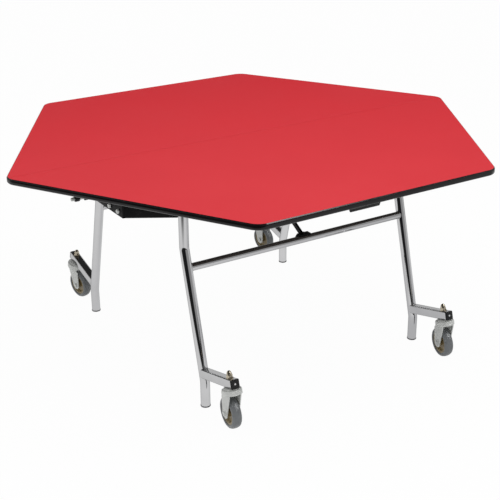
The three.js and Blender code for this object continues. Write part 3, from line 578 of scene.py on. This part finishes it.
class TABLE_OT_tops(bpy.types.Operator):
    """Builds both halves of the top: laminate, core, backing sheet and edge band"""
    bl_idname = "table.tops"
    bl_label = "Build top halves"

    def execute(self, context):
        s = context.scene.table_top
        for half, turn in HALF_TURN.items():
            self.sheets(half, turn, s)
            self.band(half, turn, s)
        return {"FINISHED"}

    def sheets(self, half, turn, s):
        outline = half_outline(PANEL_INSET, s.corner_radius, s.corner_steps)
        core_low = UNDERSIDE_Z + s.backer
        core_high = TOP_Z - s.laminate
        layers = (
            ("core_board", "sealed_core", core_low, core_high, [f"{half}_top_panel"]),
            ("laminate", "red_laminate", core_high, TOP_Z, []),
            ("backing_sheet", "backing_sheet", UNDERSIDE_Z, core_low, []),
        )
        for layer, finish_name, low, high, replaced in layers:
            bm = bmesh.new()
            extruded(bm, outline, turn, low, high)
            made(f"{half}_{layer}", bm, finish_name, f"{half}_top", "red_laminate", *replaced)

    def band(self, half, turn, s):
        height, gap, steps = TOP_Z - UNDERSIDE_Z, 3 * HAIR, 8
        turns = [math.pi / 2 * i / steps for i in range(steps + 1)]
        profile = [(PANEL_INSET - gap, height)]
        profile += [(s.lip * (1 - math.sin(a) ** s.lip_flatness),
                     height - s.lip_height * (1 - max(math.cos(a), 0) ** s.lip_flatness)) for a in turns]
        profile += [(inset, height - z) for inset, z in reversed(profile)]
        outlines = [half_outline(inset, s.corner_radius, s.corner_steps) for inset, _ in profile]
        rings = [[turn @ Vector((*place, UNDERSIDE_Z + z)) for place, (_, z) in zip(station, profile)]
                 for station in zip(*outlines)]
        lofted(f"{half}_edge_moulding", rings, "black_edging", f"{half}_top", "black_edging",
               f"{half}_edge_band")


# The frame under the top
class TABLE_OT_underframe(bpy.types.Operator):
    """Dresses the black sheet-metal pieces and the hand grips under the top"""
    bl_idname = "table.underframe"
    bl_label = "Dress underframe"

    def execute(self, context):
        sheet_edge, grip_edge = 0.0008, 0.0014
        for half in HALVES:
            for piece in ("apron", "left_hinge_plate", "right_hinge_plate", "left_leg_bracket",
                          "right_leg_bracket", "link_clevis", "link_saddle", "fold_link"):
                softened(f"{half}_{piece}", "black_powder_coat", "black_steel", sheet_edge)
            softened(f"{half}_grip", "black_plastic", "black_plastic", grip_edge)
        return {"FINISHED"}


class TABLE_OT_fold_pins(bpy.types.Operator):
    """Builds the fold pins with their bright tips and black knobs"""
    bl_idname = "table.fold_pins"
    bl_label = "Build fold pins"

    def execute(self, context):
        s = context.scene.table_pins
        soft, radius, knob = s.softening, s.radius, s.knob_radius
        bore = radius + HAIR
        for side, sign in SIDES.items():
            low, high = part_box(f"{side}_fold_pin")
            inner, outer = sorted((abs(low.x), abs(high.x)))
            place = Matrix.Translation((0, 0, FOLD_Z)) @ Matrix.Rotation(sign * math.pi / 2, 4, "Y")
            end = outer - s.tip
            start = end - s.knob
            turned(f"{side}_pin",
                   [(0, outer), (radius - 2 * soft, outer), (radius - soft, outer - soft / 2),
                    (radius, outer - 2 * soft), (radius, inner + s.clip), (s.clip_radius, inner + s.clip),
                    (s.clip_radius, inner), (0, inner)],
                   place, ROUND_SIDES, "zinc_plate", "front_top", "zinc_plate", f"{side}_fold_pin")
            turned(f"{side}_pin_knob",
                   [(bore, start), (knob - 3 * soft, start), (knob - soft, start + soft),
                    (knob, start + 3 * soft), (knob, end - 5 * soft), (knob - soft, end - 2 * soft),
                    (knob - 3 * soft, end), (bore, end), (bore, start)],
                   place, ROUND_SIDES, "black_plastic", "front_top", "black_plastic")
        return {"FINISHED"}


# Leg frames
def leg_splay(s):
    """Lean of the leg's middle stretch from upright."""
    return math.atan2(FOOT_OUT - PIVOT_OUT, s.upper_bend - s.lower_bend)


def leg_path(s, sign):
    """Points on a leg's axis, each with its direction, from the pivot end to the foot glide."""
    splay = leg_splay(s)
    radius, steps = s.bend_radius, 10
    tangent = radius * math.tan(splay / 2)
    turns = [splay * i / steps for i in range(steps + 1)]
    path = [(PIVOT_OUT, LEG_TOP_Z, 0.0)]
    path += [(PIVOT_OUT + radius * (1 - math.cos(a)), s.upper_bend + tangent - radius * math.sin(a), a)
             for a in turns]
    path += [(FOOT_OUT - radius * (1 - math.cos(a)), s.lower_bend - tangent + radius * math.sin(a), a)
             for a in reversed(turns)]
    path.append((FOOT_OUT, LEG_FOOT_Z, 0.0))
    return [(Vector((0, sign * out, z)), Vector((0, sign * math.sin(a), -math.cos(a)))) for out, z, a in path]


def round_ring(centre, direction, radius, sides):
    """A ring of points about a centre, square to a direction."""
    across = Vector((1, 0, 0)) if abs(direction.x) < 0.9 else Vector((0, 1, 0))
    other = direction.cross(across).normalized()
    return [centre + radius * (math.cos(a) * across + math.sin(a) * other)
            for a in (2 * math.pi * i / sides for i in range(sides))]


class TABLE_OT_legs(bpy.types.Operator):
    """Builds the chrome legs, crossbars, weld beads and foot glides"""
    bl_idname = "table.legs"
    bl_label = "Build leg frames"

    def execute(self, context):
        s = context.scene.table_legs
        for half, sign in HALVES.items():
            body = f"{half}_legs"
            for side in SIDES:
                self.leg(f"{half}_{side}", body, sign, s)
                self.glide(f"{half}_{side}", body, s)
            self.crossbar(half, body, sign, s)
            self.welds(half, body, sign, s)
        return {"FINISHED"}

    def leg(self, corner, body, sign, s):
        shift = Vector((middle(f"{corner}_leg").x, 0, 0))
        rings = [round_ring(centre + shift, direction, LEG_RADIUS, s.sides)
                 for centre, direction in leg_path(s, sign)]
        lofted(f"{corner}_chrome_leg", rings, "bright_chrome", body, "chrome_tube", f"{corner}_leg")

    def glide(self, corner, body, s):
        node = f"{corner}_foot_glide"
        height, soft = 0.0050, 0.0004
        rim = LEG_RADIUS + HAIR
        wall = (rim + spread(node, 0) / 2) / 2 - soft
        seat = height - 2 * soft
        turned(f"{corner}_glide",
               [(0, 0), (rim - 3 * soft, 0), (wall - 0.75 * soft, 1.25 * soft), (wall, 3.5 * soft),
                (wall, height - 2.5 * soft), (wall - soft, height - soft), (rim, height), (rim, seat),
                (0, seat)],
               Matrix.Translation((*middle(node).xy, 0)), s.sides, "grey_glide", body, "grey_glide", node)

    def crossbar(self, half, body, sign, s):
        end, axis = LEG_X - CROSSBAR_INSET, Vector((1, 0, 0))
        rings = [round_ring(Vector((x, sign * CROSSBAR_OUT, CROSSBAR_Z)), axis, CROSSBAR_RADIUS, s.sides)
                 for x in (-end, end)]
        lofted(f"{half}_chrome_crossbar", rings, "bright_chrome", body, "chrome_tube", f"{half}_crossbar")

    def welds(self, half, body, sign, s):
        splay = leg_splay(s)
        steps = 60
        bm = bmesh.new()
        for side in SIDES.values():
            curve = []
            for i in range(steps):
                a = 2 * math.pi * i / steps
                y, z = CROSSBAR_RADIUS * math.cos(a), CROSSBAR_RADIUS * math.sin(a)
                reach = math.sqrt(LEG_RADIUS ** 2 - (y * math.cos(splay) + sign * z * math.sin(splay)) ** 2)
                curve.append(Vector((side * (LEG_X - reach), sign * CROSSBAR_OUT + y, CROSSBAR_Z + z)))
            bead(bm, curve, [s.weld] * steps)
        half_arm = s.arm_size / 2
        corner_steps, spots_round = 8, 80
        spots = evenly(rounded_square(half_arm, s.arm_corner, corner_steps), spots_round)
        # The bead thins out where the arm's sides pass the round of the leg
        thinnest, full_width, thinning = 0.15, 0.6, 3
        sizes = [s.weld * max(thinnest, 1 - thinning * max(0, abs(x) / half_arm - full_width))
                 for x, _ in spots]
        for side in SIDES:
            place = arm_frame(f"{half}_{side}")
            bead(bm, [place @ Vector((x, y, math.sqrt(max(LEG_RADIUS ** 2 - x * x, 0)) - s.arm_length))
                      for x, y in spots], sizes)
        made(f"{half}_weld_beads", bm, "bright_chrome", body, "chrome_tube")


def evenly(outline, count):
    """Points spaced evenly along a closed outline."""
    points = [Vector(point) for point in outline]
    points.append(points[0])
    lengths = [(b - a).length for a, b in zip(points, points[1:])]
    total = sum(lengths)
    spaced = []
    leg = 0
    start = 0.0
    for i in range(count):
        at = total * i / count
        while start + lengths[leg] < at:
            start += lengths[leg]
            leg += 1
        spaced.append(points[leg].lerp(points[leg + 1], (at - start) / max(lengths[leg], MERGE)))
    return spaced


def bead(bm, curve, sizes):
    """A rippled weld bead along a closed curve, with its size at each point."""
    count, sides = len(curve), 8
    share, ripple, ripple_steps = 0.62, 0.12, 3
    rows = []
    for i, centre in enumerate(curve):
        direction = (curve[(i + 1) % count] - curve[i - 1]).normalized()
        across = direction.orthogonal().normalized() if not rows else rows[-1][1]
        across = (across - across.dot(direction) * direction).normalized()
        other = direction.cross(across)
        radius = sizes[i] * (share + ripple * math.cos(2 * math.pi * i / ripple_steps))
        ring = [bm.verts.new(centre + radius * (math.cos(a) * across + math.sin(a) * other))
                for a in (2 * math.pi * j / sides for j in range(sides))]
        rows.append((ring, across))
    shift = min(range(sides), key=lambda j: (rows[0][0][j].co - rows[-1][0][0].co).length)
    for i in range(count):
        low = rows[i][0]
        high = rows[i + 1][0] if i + 1 < count else rows[0][0][shift:] + rows[0][0][:shift]
        for j in range(sides):
            bm.faces.new((low[j], low[(j + 1) % sides], high[(j + 1) % sides], high[j]))


# Caster arms and casters
def legs_of(corner):
    """Body of the leg frame at a corner."""
    return f"{corner.split('_')[0]}_legs"


def caster_frame(corner):
    """Frame of a caster: stem axis as Z, axle as X, origin where the stem crosses the arm's axis."""
    stem = JOINTS[f"{corner}_swivel_turn"]
    axle = Vector(JOINTS[f"{corner}_wheel_spin"]["axis"])
    up = Vector(stem["axis"])
    turn = Matrix((axle, up.cross(axle), up)).transposed().to_4x4()
    return Matrix.Translation(stem["pos_m"]) @ turn


def arm_frame(corner):
    """Frame of a caster arm: Z runs out along the arm, X across it, origin at the stem."""
    stem = JOINTS[f"{corner}_swivel_turn"]
    up = Vector(stem["axis"])
    sign = HALVES[corner.split("_")[0]]
    outward = Vector((0, sign * up.z, -sign * up.y))
    turn = Matrix((up.cross(outward), up, outward)).transposed().to_4x4()
    return Matrix.Translation(stem["pos_m"]) @ turn


class TABLE_OT_arms(bpy.types.Operator):
    """Builds the square caster arms, their end caps and the rivets in them"""
    bl_idname = "table.arms"
    bl_label = "Build caster arms"

    def execute(self, context):
        s = context.scene.table_legs
        half, end = s.arm_size / 2, s.arm_overhang
        cap, rim = 0.004, 0.0003
        rivet, rivet_height, rivet_sides = 0.0032, 0.0012, 20
        face = end + cap
        for corner in CORNERS:
            body = legs_of(corner)
            place = arm_frame(corner)
            bm = bmesh.new()
            extruded(bm, rounded_square(half, s.arm_corner), place, ARM_INSET - s.arm_length, end)
            made(f"{corner}_chrome_arm", bm, "bright_chrome", body, "chrome_tube", f"{corner}_caster_arm")
            steps = [(half, end + 2 * HAIR), (half + rim, end + 2 * rim), (half + rim, end + 0.7 * cap),
                     (half - 4 * rim, face)]
            rings = [[place @ Vector((x, y, z)) for x, y in rounded_square(size, s.arm_corner)]
                     for size, z in steps]
            lofted(f"{corner}_end_cap", rings, "black_plastic", body, "black_plastic", f"{corner}_arm_cap")
            turned(f"{corner}_cap_rivet",
                   [(0, face + rivet_height), (0.6875 * rivet, face + 0.75 * rivet_height), (rivet, face),
                    (0, face - 5 * HAIR)],
                   place, rivet_sides, "white_rivet", body, "zinc_plate")
        return {"FINISHED"}


class TABLE_OT_casters(bpy.types.Operator):
    """Builds the stem nuts, raceways, forks, axle bolts, hubs and tyres of the casters"""
    bl_idname = "table.casters"
    bl_label = "Build casters"

    def execute(self, context):
        s = context.scene.table_casters
        arm = context.scene.table_legs.arm_size / 2
        for corner in CORNERS:
            place = caster_frame(corner)
            wheel = place.inverted() @ Vector(JOINTS[f"{corner}_wheel_spin"]["pos_m"])
            axle = place @ Matrix.Translation(wheel) @ Matrix.Rotation(math.pi / 2, 4, "Y")
            gap = 3 * HAIR
            race_top = -arm - gap
            self.nut(corner, place, arm)
            self.raceway(corner, place, race_top, s)
            self.fork(corner, place, wheel, race_top - s.raceway - gap, s)
            self.axle_bolt(corner, axle, s)
            self.wheel(corner, axle, s)
        return {"FINISHED"}

    def nut(self, corner, place, arm):
        nut, washer, collar_height, dome_height = 0.0095, 0.0016, 0.010, 0.0242
        washer_radius, dome_radius, steps = 1.25 * nut, 0.93 * nut, 8
        base, collar, top = arm + 2 * HAIR, arm + collar_height, arm + dome_height
        lid = base + washer
        bm = bmesh.new()
        extruded(bm, hexagon(nut / math.cos(math.pi / 6)), place, lid - HAIR, collar)
        turns = [math.pi / 2 * i / steps for i in range(steps)]
        dome = [(dome_radius * math.cos(a), collar + (top - collar) * math.sin(a)) for a in turns] + [(0, top)]
        lathe(bm, [(0, collar - OVERLAP), (dome_radius, collar - OVERLAP)] + dome, place, ROUND_SIDES)
        lathe(bm, [(0, base), (washer_radius, base), (washer_radius, lid - 3 * HAIR), (nut, lid), (0, lid)],
              place, ROUND_SIDES)
        made(f"{corner}_acorn_nut", bm, "warm_zinc", legs_of(corner), "zinc_plate", f"{corner}_stem_nut")

    def raceway(self, corner, place, top, s):
        radius, soft, sides = s.raceway_radius, 0.0008, 48
        keeper_radius, stem_length = 0.010, 0.0115
        low, end = top - s.raceway, top - stem_length
        keeper = end + s.raceway
        turned(f"{corner}_raceway",
               [(0, top), (radius - 0.625 * soft, top), (radius, top - 0.75 * soft), (radius, low + soft),
                (radius - soft, low), (s.stem_radius, low), (s.stem_radius, keeper), (keeper_radius, keeper),
                (keeper_radius, end), (0, end)],
               place, sides, "zinc_plate", legs_of(corner), "zinc_plate")

    def fork(self, corner, place, wheel, top, s):
        low = top - s.head_height
        radius, bend, bore = s.head_radius, 0.005, s.stem_radius + 5 * HAIR
        inside, ceiling = radius - s.fork_sheet, top - bend
        bm = bmesh.new()
        lathe(bm, [(bore, top), (radius - bend, top), (radius - 0.3 * bend, top - 0.24 * bend),
                   (radius, top - 0.9 * bend), (radius, low), (inside, low), (inside, ceiling), (bore, ceiling),
                   (bore, top)], place, s.sides)
        waist_drop, shoulder_drop, soft = 0.006, 0.011, 0.002
        eye_end, eye_steps = 2.06 * math.pi, 20
        start, waist, ledge = top - waist_drop, low - waist_drop, low - shoulder_drop
        # The back edge leaves its waist on a line that touches the eye
        lean = Vector((wheel.y + s.fork_back, wheel.z - waist))
        tangent = math.atan2(lean.y, lean.x) - math.asin(s.eye / lean.length)
        outline = [(-s.fork_back, start), (-s.fork_back, waist)]
        outline += arc(wheel.y, wheel.z, s.eye, tangent + 1.5 * math.pi, eye_end, eye_steps)
        outline += [(s.shoulder, ledge), (s.shoulder - soft, ledge + 2 * soft),
                    (s.fork_front, ledge + 3.5 * soft), (s.fork_front, start)]
        inner, outer = s.fork_gap, s.fork_gap + s.fork_sheet
        for faces in ((-outer, -inner), (inner, outer)):
            loft(bm, [[place @ Vector((x, y, z)) for y, z in outline] for x in faces])
        made(f"{corner}_fork", bm, "zinc_plate", f"{corner}_swivel", "zinc_plate", f"{corner}_caster_fork")

    def axle_bolt(self, corner, axle, s):
        outer = s.fork_gap + s.fork_sheet
        low, high = -outer - 2 * OVERLAP, outer + 4 * OVERLAP
        corner_radius, nut, head, sides = 0.0082, 0.0055, 0.0048, 24
        bm = bmesh.new()
        lathe(bm, [(0, low), (s.axle_radius, low), (s.axle_radius, high), (0, high)], axle, sides)
        extruded(bm, hexagon(corner_radius), axle, outer, outer + nut)
        extruded(bm, hexagon(corner_radius), axle, -outer - head, -outer)
        made(f"{corner}_axle_bolt", bm, "zinc_plate", f"{corner}_swivel", "zinc_plate")

    def wheel(self, corner, axle, s):
        body, half, bore, steps = f"{corner}_wheel", s.wheel_width / 2, s.tyre_bore, 12
        fullness, bead_share, face_share = 0.6, 0.84, 0.80
        bead_half = half * bead_share
        turns = [math.pi * (i / steps - 0.5) for i in range(steps + 1)]
        tread = [(s.wheel_radius - s.tread_drop * (1 - math.cos(a) ** fullness), half * math.sin(a))
                 for a in turns]
        turned(f"{corner}_rubber_tyre", [(bore, -bead_half)] + tread + [(bore, bead_half), (bore, -bead_half)],
               axle, s.sides, "grey_rubber", body, "grey_rubber", f"{corner}_tyre")
        rim, face, boss = bore - HAIR, half * face_share, s.fork_gap - OVERLAP
        rim_width, web, boss_radius = 0.006, 0.005, 0.0115
        hub_bore, ring = s.axle_radius + 4 * HAIR, rim - rim_width
        profile = [(hub_bore, boss), (boss_radius - OVERLAP, boss), (boss_radius, boss - OVERLAP),
                   (boss_radius + OVERLAP, web + OVERLAP), (rim - 1.75 * rim_width, web),
                   (ring - OVERLAP, face - OVERLAP), (ring, face), (rim, face)]
        mirrored = [(radius, -z) for radius, z in profile]
        turned(f"{corner}_tan_hub", mirrored + profile[::-1] + mirrored[:1], axle, s.sides, "tan_hub", body,
               "tan_plastic", f"{corner}_wheel_hub")


# Fasteners
def head_tree():
    """Geometry Nodes tree: a round or hexagonal head with a tapered crown on every vertex."""
    tree = bpy.data.node_groups.new("fastener_heads", "GeometryNodeTree")
    for label, kind in (("Geometry", "Geometry"), ("Sides", "Int"), ("Radius", "Float"), ("Height", "Float"),
                        ("Crown", "Float"), ("Turn", "Rotation"), ("Material", "Material")):
        tree.interface.new_socket(label, in_out="INPUT", socket_type=f"NodeSocket{kind}")
    tree.interface.new_socket("Geometry", in_out="OUTPUT", socket_type="NodeSocketGeometry")
    given = tree.nodes.new("NodeGroupInput").outputs
    head = add_node(tree, "GeometryNodeMeshCone", {
        "Vertices": given["Sides"], "Radius Bottom": given["Radius"],
        "Radius Top": multiply(tree, given["Radius"], given["Crown"]), "Depth": given["Height"],
    }, "Mesh")
    placed = add_node(tree, "GeometryNodeInstanceOnPoints", {
        "Points": given["Geometry"], "Instance": head, "Rotation": given["Turn"],
    }, "Instances")
    whole = add_node(tree, "GeometryNodeRealizeInstances", {"Geometry": placed}, "Geometry")
    coated = add_node(tree, "GeometryNodeSetMaterial", {"Geometry": whole, "Material": given["Material"]},
                      "Geometry")
    tree.links.new(coated, tree.nodes.new("NodeGroupOutput").inputs["Geometry"])


def heads(name, points, sides, radius, height, turn, body):
    """Zinc fastener heads at a list of points, made by the tree and kept as a plain mesh."""
    finish_name = "zinc_plate"
    seed = bpy.data.meshes.new(f"{name}_points")
    seed.from_pydata([tuple(point) for point in points], [], [])
    carrier = bpy.data.objects.new(f"{name}_carrier", seed)
    bpy.context.scene.collection.objects.link(carrier)
    tree = bpy.data.node_groups["fastener_heads"]
    modifier = carrier.modifiers.new("heads", "NODES")
    modifier.node_group = tree
    values = {"Sides": sides, "Radius": radius, "Height": height, "Turn": turn,
              "Crown": bpy.context.scene.table_fasteners.crown, "Material": MATERIALS[finish_name]}
    for item in tree.interface.items_tree:
        if item.in_out == "INPUT" and item.name in values:
            modifier[item.identifier] = values[item.name]
    graph = bpy.context.evaluated_depsgraph_get()
    mesh = bpy.data.meshes.new_from_object(carrier.evaluated_get(graph))
    mesh.name = name
    bpy.data.objects.remove(carrier)
    bpy.data.meshes.remove(seed)
    return dressed(name, mesh, finish_name, body, "zinc_plate")


DOWN = (math.pi, 0.0, 0.0)
OUTWARD = {side: (0.0, sign * math.pi / 2, 0.0) for side, sign in SIDES.items()}


class TABLE_OT_fasteners(bpy.types.Operator):
    """Places the bolts of the hinge plates, the heads of the link pins and the screws of the flanges"""
    bl_idname = "table.fasteners"
    bl_label = "Place fasteners"

    def execute(self, context):
        s = context.scene.table_fasteners
        head_tree()
        for half, sign in HALVES.items():
            self.hinge_bolts(half, sign, s)
            self.link_pins(half, s)
            self.flange_screws(half, sign, s)
        return {"FINISHED"}

    def hinge_bolts(self, half, sign, s):
        """Bolts on the hinge plate at the outer end of the fold."""
        side = "left" if half == "front" else "right"
        low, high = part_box(f"{half}_{side}_hinge_plate")
        way, stand = SIDES[side], 2 * OVERLAP
        x = (high.x if way > 0 else low.x) + way * stand
        points = [Vector((x, sign * out, s.bolt_z)) for out in (s.bolt_near, s.bolt_far)]
        heads(f"{half}_hinge_bolts", points, 6, s.bolt_radius, s.bolt_height, OUTWARD[side], f"{half}_top")

    def link_pins(self, half, s):
        centre = Vector(JOINTS[f"{half}_link_turn"]["pos_m"])
        for side, way in SIDES.items():
            point = centre + Vector((way * (s.cheek + s.pin_height / 2 - HAIR), 0, 0))
            heads(f"{half}_link_pin_{side}_head", [point], ROUND_SIDES, s.pin_radius, s.pin_height,
                  OUTWARD[side], f"{half}_legs")

    def flange_screws(self, half, sign, s):
        flange, sides = 0.003, 16
        bracket_margin, bracket_pitch = 0.009, 0.012
        hinge_margin, hinge_pitch = 0.010, 0.07
        z = UNDERSIDE_Z - flange - OVERLAP
        low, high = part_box(f"{half}_apron")
        start, end = low.x + s.apron_margin, high.x - s.apron_margin
        screws = [Vector((start + (end - start) * i / (s.apron_screws - 1), (low.y + high.y) / 2, z))
                  for i in range(s.apron_screws)]
        for side in SIDES:
            low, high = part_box(f"{half}_{side}_leg_bracket")
            screws += [Vector((x, (low.y + high.y) / 2 + y, z))
                       for x in (low.x + bracket_margin, high.x - bracket_margin)
                       for y in (-bracket_pitch, bracket_pitch)]
            low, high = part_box(f"{half}_{side}_hinge_plate")
            x = high.x - hinge_margin if low.x < 0 else low.x + hinge_margin
            screws += [Vector((x, sign * hinge_pitch * i, z)) for i in (1, 2, 3)]
        heads(f"{half}_flange_screws", screws, sides, s.screw_radius, s.screw_height, DOWN, f"{half}_top")


# Stage
# Edges in the mirrored studio, as the start and end of a fade along a unit direction
BELT_FOOT = (0.10, 0.16)
BELT_HEAD = (0.275, 0.365)
FRONT_EDGE = (-0.3, 0.3)
UNLIT_EDGE = (0.68, 0.84)
ROOF_EDGE = (0.55, 0.68)
STRIP_LEFT, STRIP_RIGHT = (0.38, 0.44), (0.58, 0.52)
STRIP_BACK, STRIP_FOOT = (-0.05, -0.2), (0.52, 0.62)
# Edges of the painted shade on the mirrored floor, in metres from the table's middle along a level direction
ASIDE = (0.9, 0.44, 0.0)
ASIDE_EDGE = (-0.6, 0.1)
BACK_EDGE = (0.1, 0.3)
FAR_EDGE = (0.5, 1.2)
SWEEP_FADE = 0.5


def view_basis(s):
    """Turn of the camera, with its view along -Z."""
    forward = Vector((math.sin(s.azimuth) * math.cos(s.pitch), math.cos(s.azimuth) * math.cos(s.pitch),
                      -math.sin(s.pitch)))
    right = Vector((math.cos(s.azimuth), -math.sin(s.azimuth), 0))
    up = right.cross(forward)
    across = math.cos(s.roll) * right + math.sin(s.roll) * up
    upright = math.cos(s.roll) * up - math.sin(s.roll) * right
    return Matrix((across, upright, -forward)).transposed()


def level(turn):
    """Level direction at a turn from +Y to +X."""
    return Vector((math.sin(turn), math.cos(turn), 0.0))


def dark_side(tree, place, s, low, high):
    """How far a place or direction lies toward the unlit side of the studio, from 0 to 1."""
    return remap(tree, along(tree, place, -level(s.azimuth + s.dark_turn)), low, high)


class TABLE_OT_stage(bpy.types.Operator):
    """Sets the camera, the soft studio light, what the chrome mirrors and the pale floor, with painted shade in
    its reflections
    """
    bl_idname = "table.stage"
    bl_label = "Set stage"

    def execute(self, context):
        s = context.scene.table_stage
        context.scene.view_settings.view_transform = "Standard"
        self.camera(context, s)
        self.world(context, s)
        self.lamp(context, s, "overhead", s.key_power, s.key_size, s.key_at)
        self.lamp(context, s, "side_fill", s.fill_power, s.fill_size, s.fill_at)
        self.floor(context, s)
        return {"FINISHED"}

    def camera(self, context, s):
        data = bpy.data.cameras.new("photo_view")
        data.lens = s.lens
        data.sensor_width = 36
        data.clip_end = 100
        camera = bpy.data.objects.new("photo_view", data)
        camera.matrix_world = Matrix.Translation(s.camera_at) @ view_basis(s).to_4x4()
        context.scene.collection.objects.link(camera)
        context.scene.camera = camera

    def world(self, context, s):
        """White to the camera, plain soft light on the object, and a studio for mirrors."""
        world = bpy.data.worlds.new("studio")
        context.scene.world = world
        world.use_nodes = True
        tree = world.node_tree
        tree.nodes.clear()
        path = tree.nodes.new("ShaderNodeLightPath").outputs
        plain = {"Color": (1, 1, 1, 1)}
        white = add_node(tree, "ShaderNodeBackground", plain)
        soft = add_node(tree, "ShaderNodeBackground", {**plain, "Strength": s.dome_light})
        glossy = add_node(tree, "ShaderNodeBackground", {"Color": self.mirrored_room(tree, s)})
        lit = add_node(tree, "ShaderNodeMixShader", {0: path["Is Glossy Ray"], 1: soft, 2: glossy})
        seen = add_node(tree, "ShaderNodeMixShader", {0: path["Is Camera Ray"], 1: lit, 2: white})
        tree.links.new(seen, tree.nodes.new("ShaderNodeOutputWorld").inputs["Surface"])

    def mirrored_room(self, tree, s):
        """Pale backdrop with a dark belt, a dim front, an unlit side, and a dark roof with a bright strip."""
        pale, dim, dark, unlit, bright = 0.95, 0.42, 0.03, (0.015, 0.015, 0.017), 12.0
        direction = add_node(tree, "ShaderNodeTexCoord", output="Generated")
        x, y, z = add_node(tree, "ShaderNodeSeparateXYZ", {"Vector": direction}).node.outputs
        backdrop = fade(tree, z, BELT_FOOT, pale, fade(tree, z, BELT_HEAD, dark, pale))
        room = fade(tree, along(tree, direction, -level(s.azimuth)), FRONT_EDGE, backdrop, dim)
        room = mixed_colour(tree, dark_side(tree, direction, s, *UNLIT_EDGE), room, unlit)
        room = fade(tree, z, ROOF_EDGE, room, dark)
        strip = multiply(tree, remap(tree, x, *STRIP_LEFT), remap(tree, x, *STRIP_RIGHT),
                         remap(tree, y, *STRIP_BACK), remap(tree, z, *STRIP_FOOT))
        return mixed_colour(tree, strip, room, bright)

    def lamp(self, context, s, name, power, size, place):
        light = bpy.data.lights.new(name, "AREA")
        light.energy = power
        light.size = size
        lamp = bpy.data.objects.new(name, light)
        lamp.location = place
        lamp.rotation_mode = "QUATERNION"
        lamp.rotation_quaternion = (Vector((0, 0, s.aim)) - lamp.location).to_track_quat("-Z", "Y")
        lamp.visible_glossy = False
        context.scene.collection.objects.link(lamp)

    def floor(self, context, s):
        reach = s.floor_reach
        mesh = bpy.data.meshes.new("floor")
        corners = [(x * reach, y * reach, 0) for x, y in ((-1, -1), (1, -1), (1, 1), (-1, 1))]
        mesh.from_pydata(corners, [], [(0, 1, 2, 3)])
        floor = bpy.data.objects.new("floor", mesh)
        context.scene.collection.objects.link(floor)
        tree, shader = new_material("pale_floor", Base_Color=(0.9, 0.9, 0.9, 1.0), Roughness=0.9,
                                    Specular_IOR_Level=0.0)
        path = tree.nodes.new("ShaderNodeLightPath").outputs
        white = add_node(tree, "ShaderNodeEmission")
        share = multiply(tree, path["Is Camera Ray"], s.floor_glow)
        lit = add_node(tree, "ShaderNodeMixShader", {0: share, 1: shader.outputs[0], 2: white})
        # Glossy rays see the floor glow with painted light and shade in place of its lit colour
        mirrored = add_node(tree, "ShaderNodeEmission", {"Color": self.painted_floor_shade(tree, s)})
        whole = add_node(tree, "ShaderNodeMixShader", {0: path["Is Glossy Ray"], 1: lit, 2: mirrored})
        tree.links.new(whole, tree.nodes["Material Output"].inputs["Surface"])
        mesh.materials.append(MATERIALS["pale_floor"])

    def painted_floor_shade(self, tree, s):
        """Painted light and shade of the floor as mirrors see it: pale, greyer to the right, white behind the
        table, greyer far off, dark on the unlit side.
        """
        # Painted grey levels: shade beside and far off, white behind the table, dark beyond the lit floor
        pale, painted_shade_beside, white, far, dark = 0.95, (0.72, 0.72, 0.73), 1.0, 0.62, 0.02
        place = add_node(tree, "ShaderNodeNewGeometry", output="Position")
        depth = along(tree, place, level(s.azimuth))
        shade = fade(tree, along(tree, place, ASIDE), ASIDE_EDGE, pale, painted_shade_beside)
        shade = fade(tree, depth, FAR_EDGE, fade(tree, depth, BACK_EDGE, shade, white), far)
        return mixed_colour(tree, dark_side(tree, place, s, s.sweep, s.sweep + SWEEP_FADE), shade, dark)


class TABLE_PT_panel(bpy.types.Panel):
    """Lists the steps that dress the table, and their settings"""
    bl_label = "Folding Table"
    bl_idname = "TABLE_PT_panel"
    bl_space_type = "VIEW_3D"
    bl_region_type = "UI"
    bl_category = "Folding Table"

    def draw(self, context):
        for step in STEPS:
            self.layout.operator(step.bl_idname)
        for group in SETTINGS:
            box = self.layout.box()
            settings = getattr(context.scene, group)
            for name in SETTINGS[group].__annotations__:
                box.prop(settings, name)


SETTINGS = {
    "table_top": TableTopSizes,
    "table_pins": TablePinSizes,
    "table_legs": TableLegSizes,
    "table_casters": TableCasterSizes,
    "table_fasteners": TableFastenerSizes,
    "table_colours": TableColours,
    "table_stage": TableStageSettings,
}
STEPS = (TABLE_OT_stage, TABLE_OT_finishes, TABLE_OT_tops, TABLE_OT_underframe, TABLE_OT_fold_pins,
         TABLE_OT_legs, TABLE_OT_arms, TABLE_OT_casters, TABLE_OT_fasteners)
CLASSES = (*SETTINGS.values(), *STEPS, TABLE_PT_panel)


def register():
    for cls in CLASSES:
        bpy.utils.register_class(cls)
    for name, group in SETTINGS.items():
        setattr(bpy.types.Scene, name, PointerProperty(type=group))


def unregister():
    for name in SETTINGS:
        delattr(bpy.types.Scene, name)
    for cls in reversed(CLASSES):
        bpy.utils.unregister_class(cls)


def main():
    register()
    for step in STEPS:
        area, action = step.bl_idname.split(".")
        getattr(getattr(bpy.ops, area), action)()


if __name__ == "__main__":
    main()
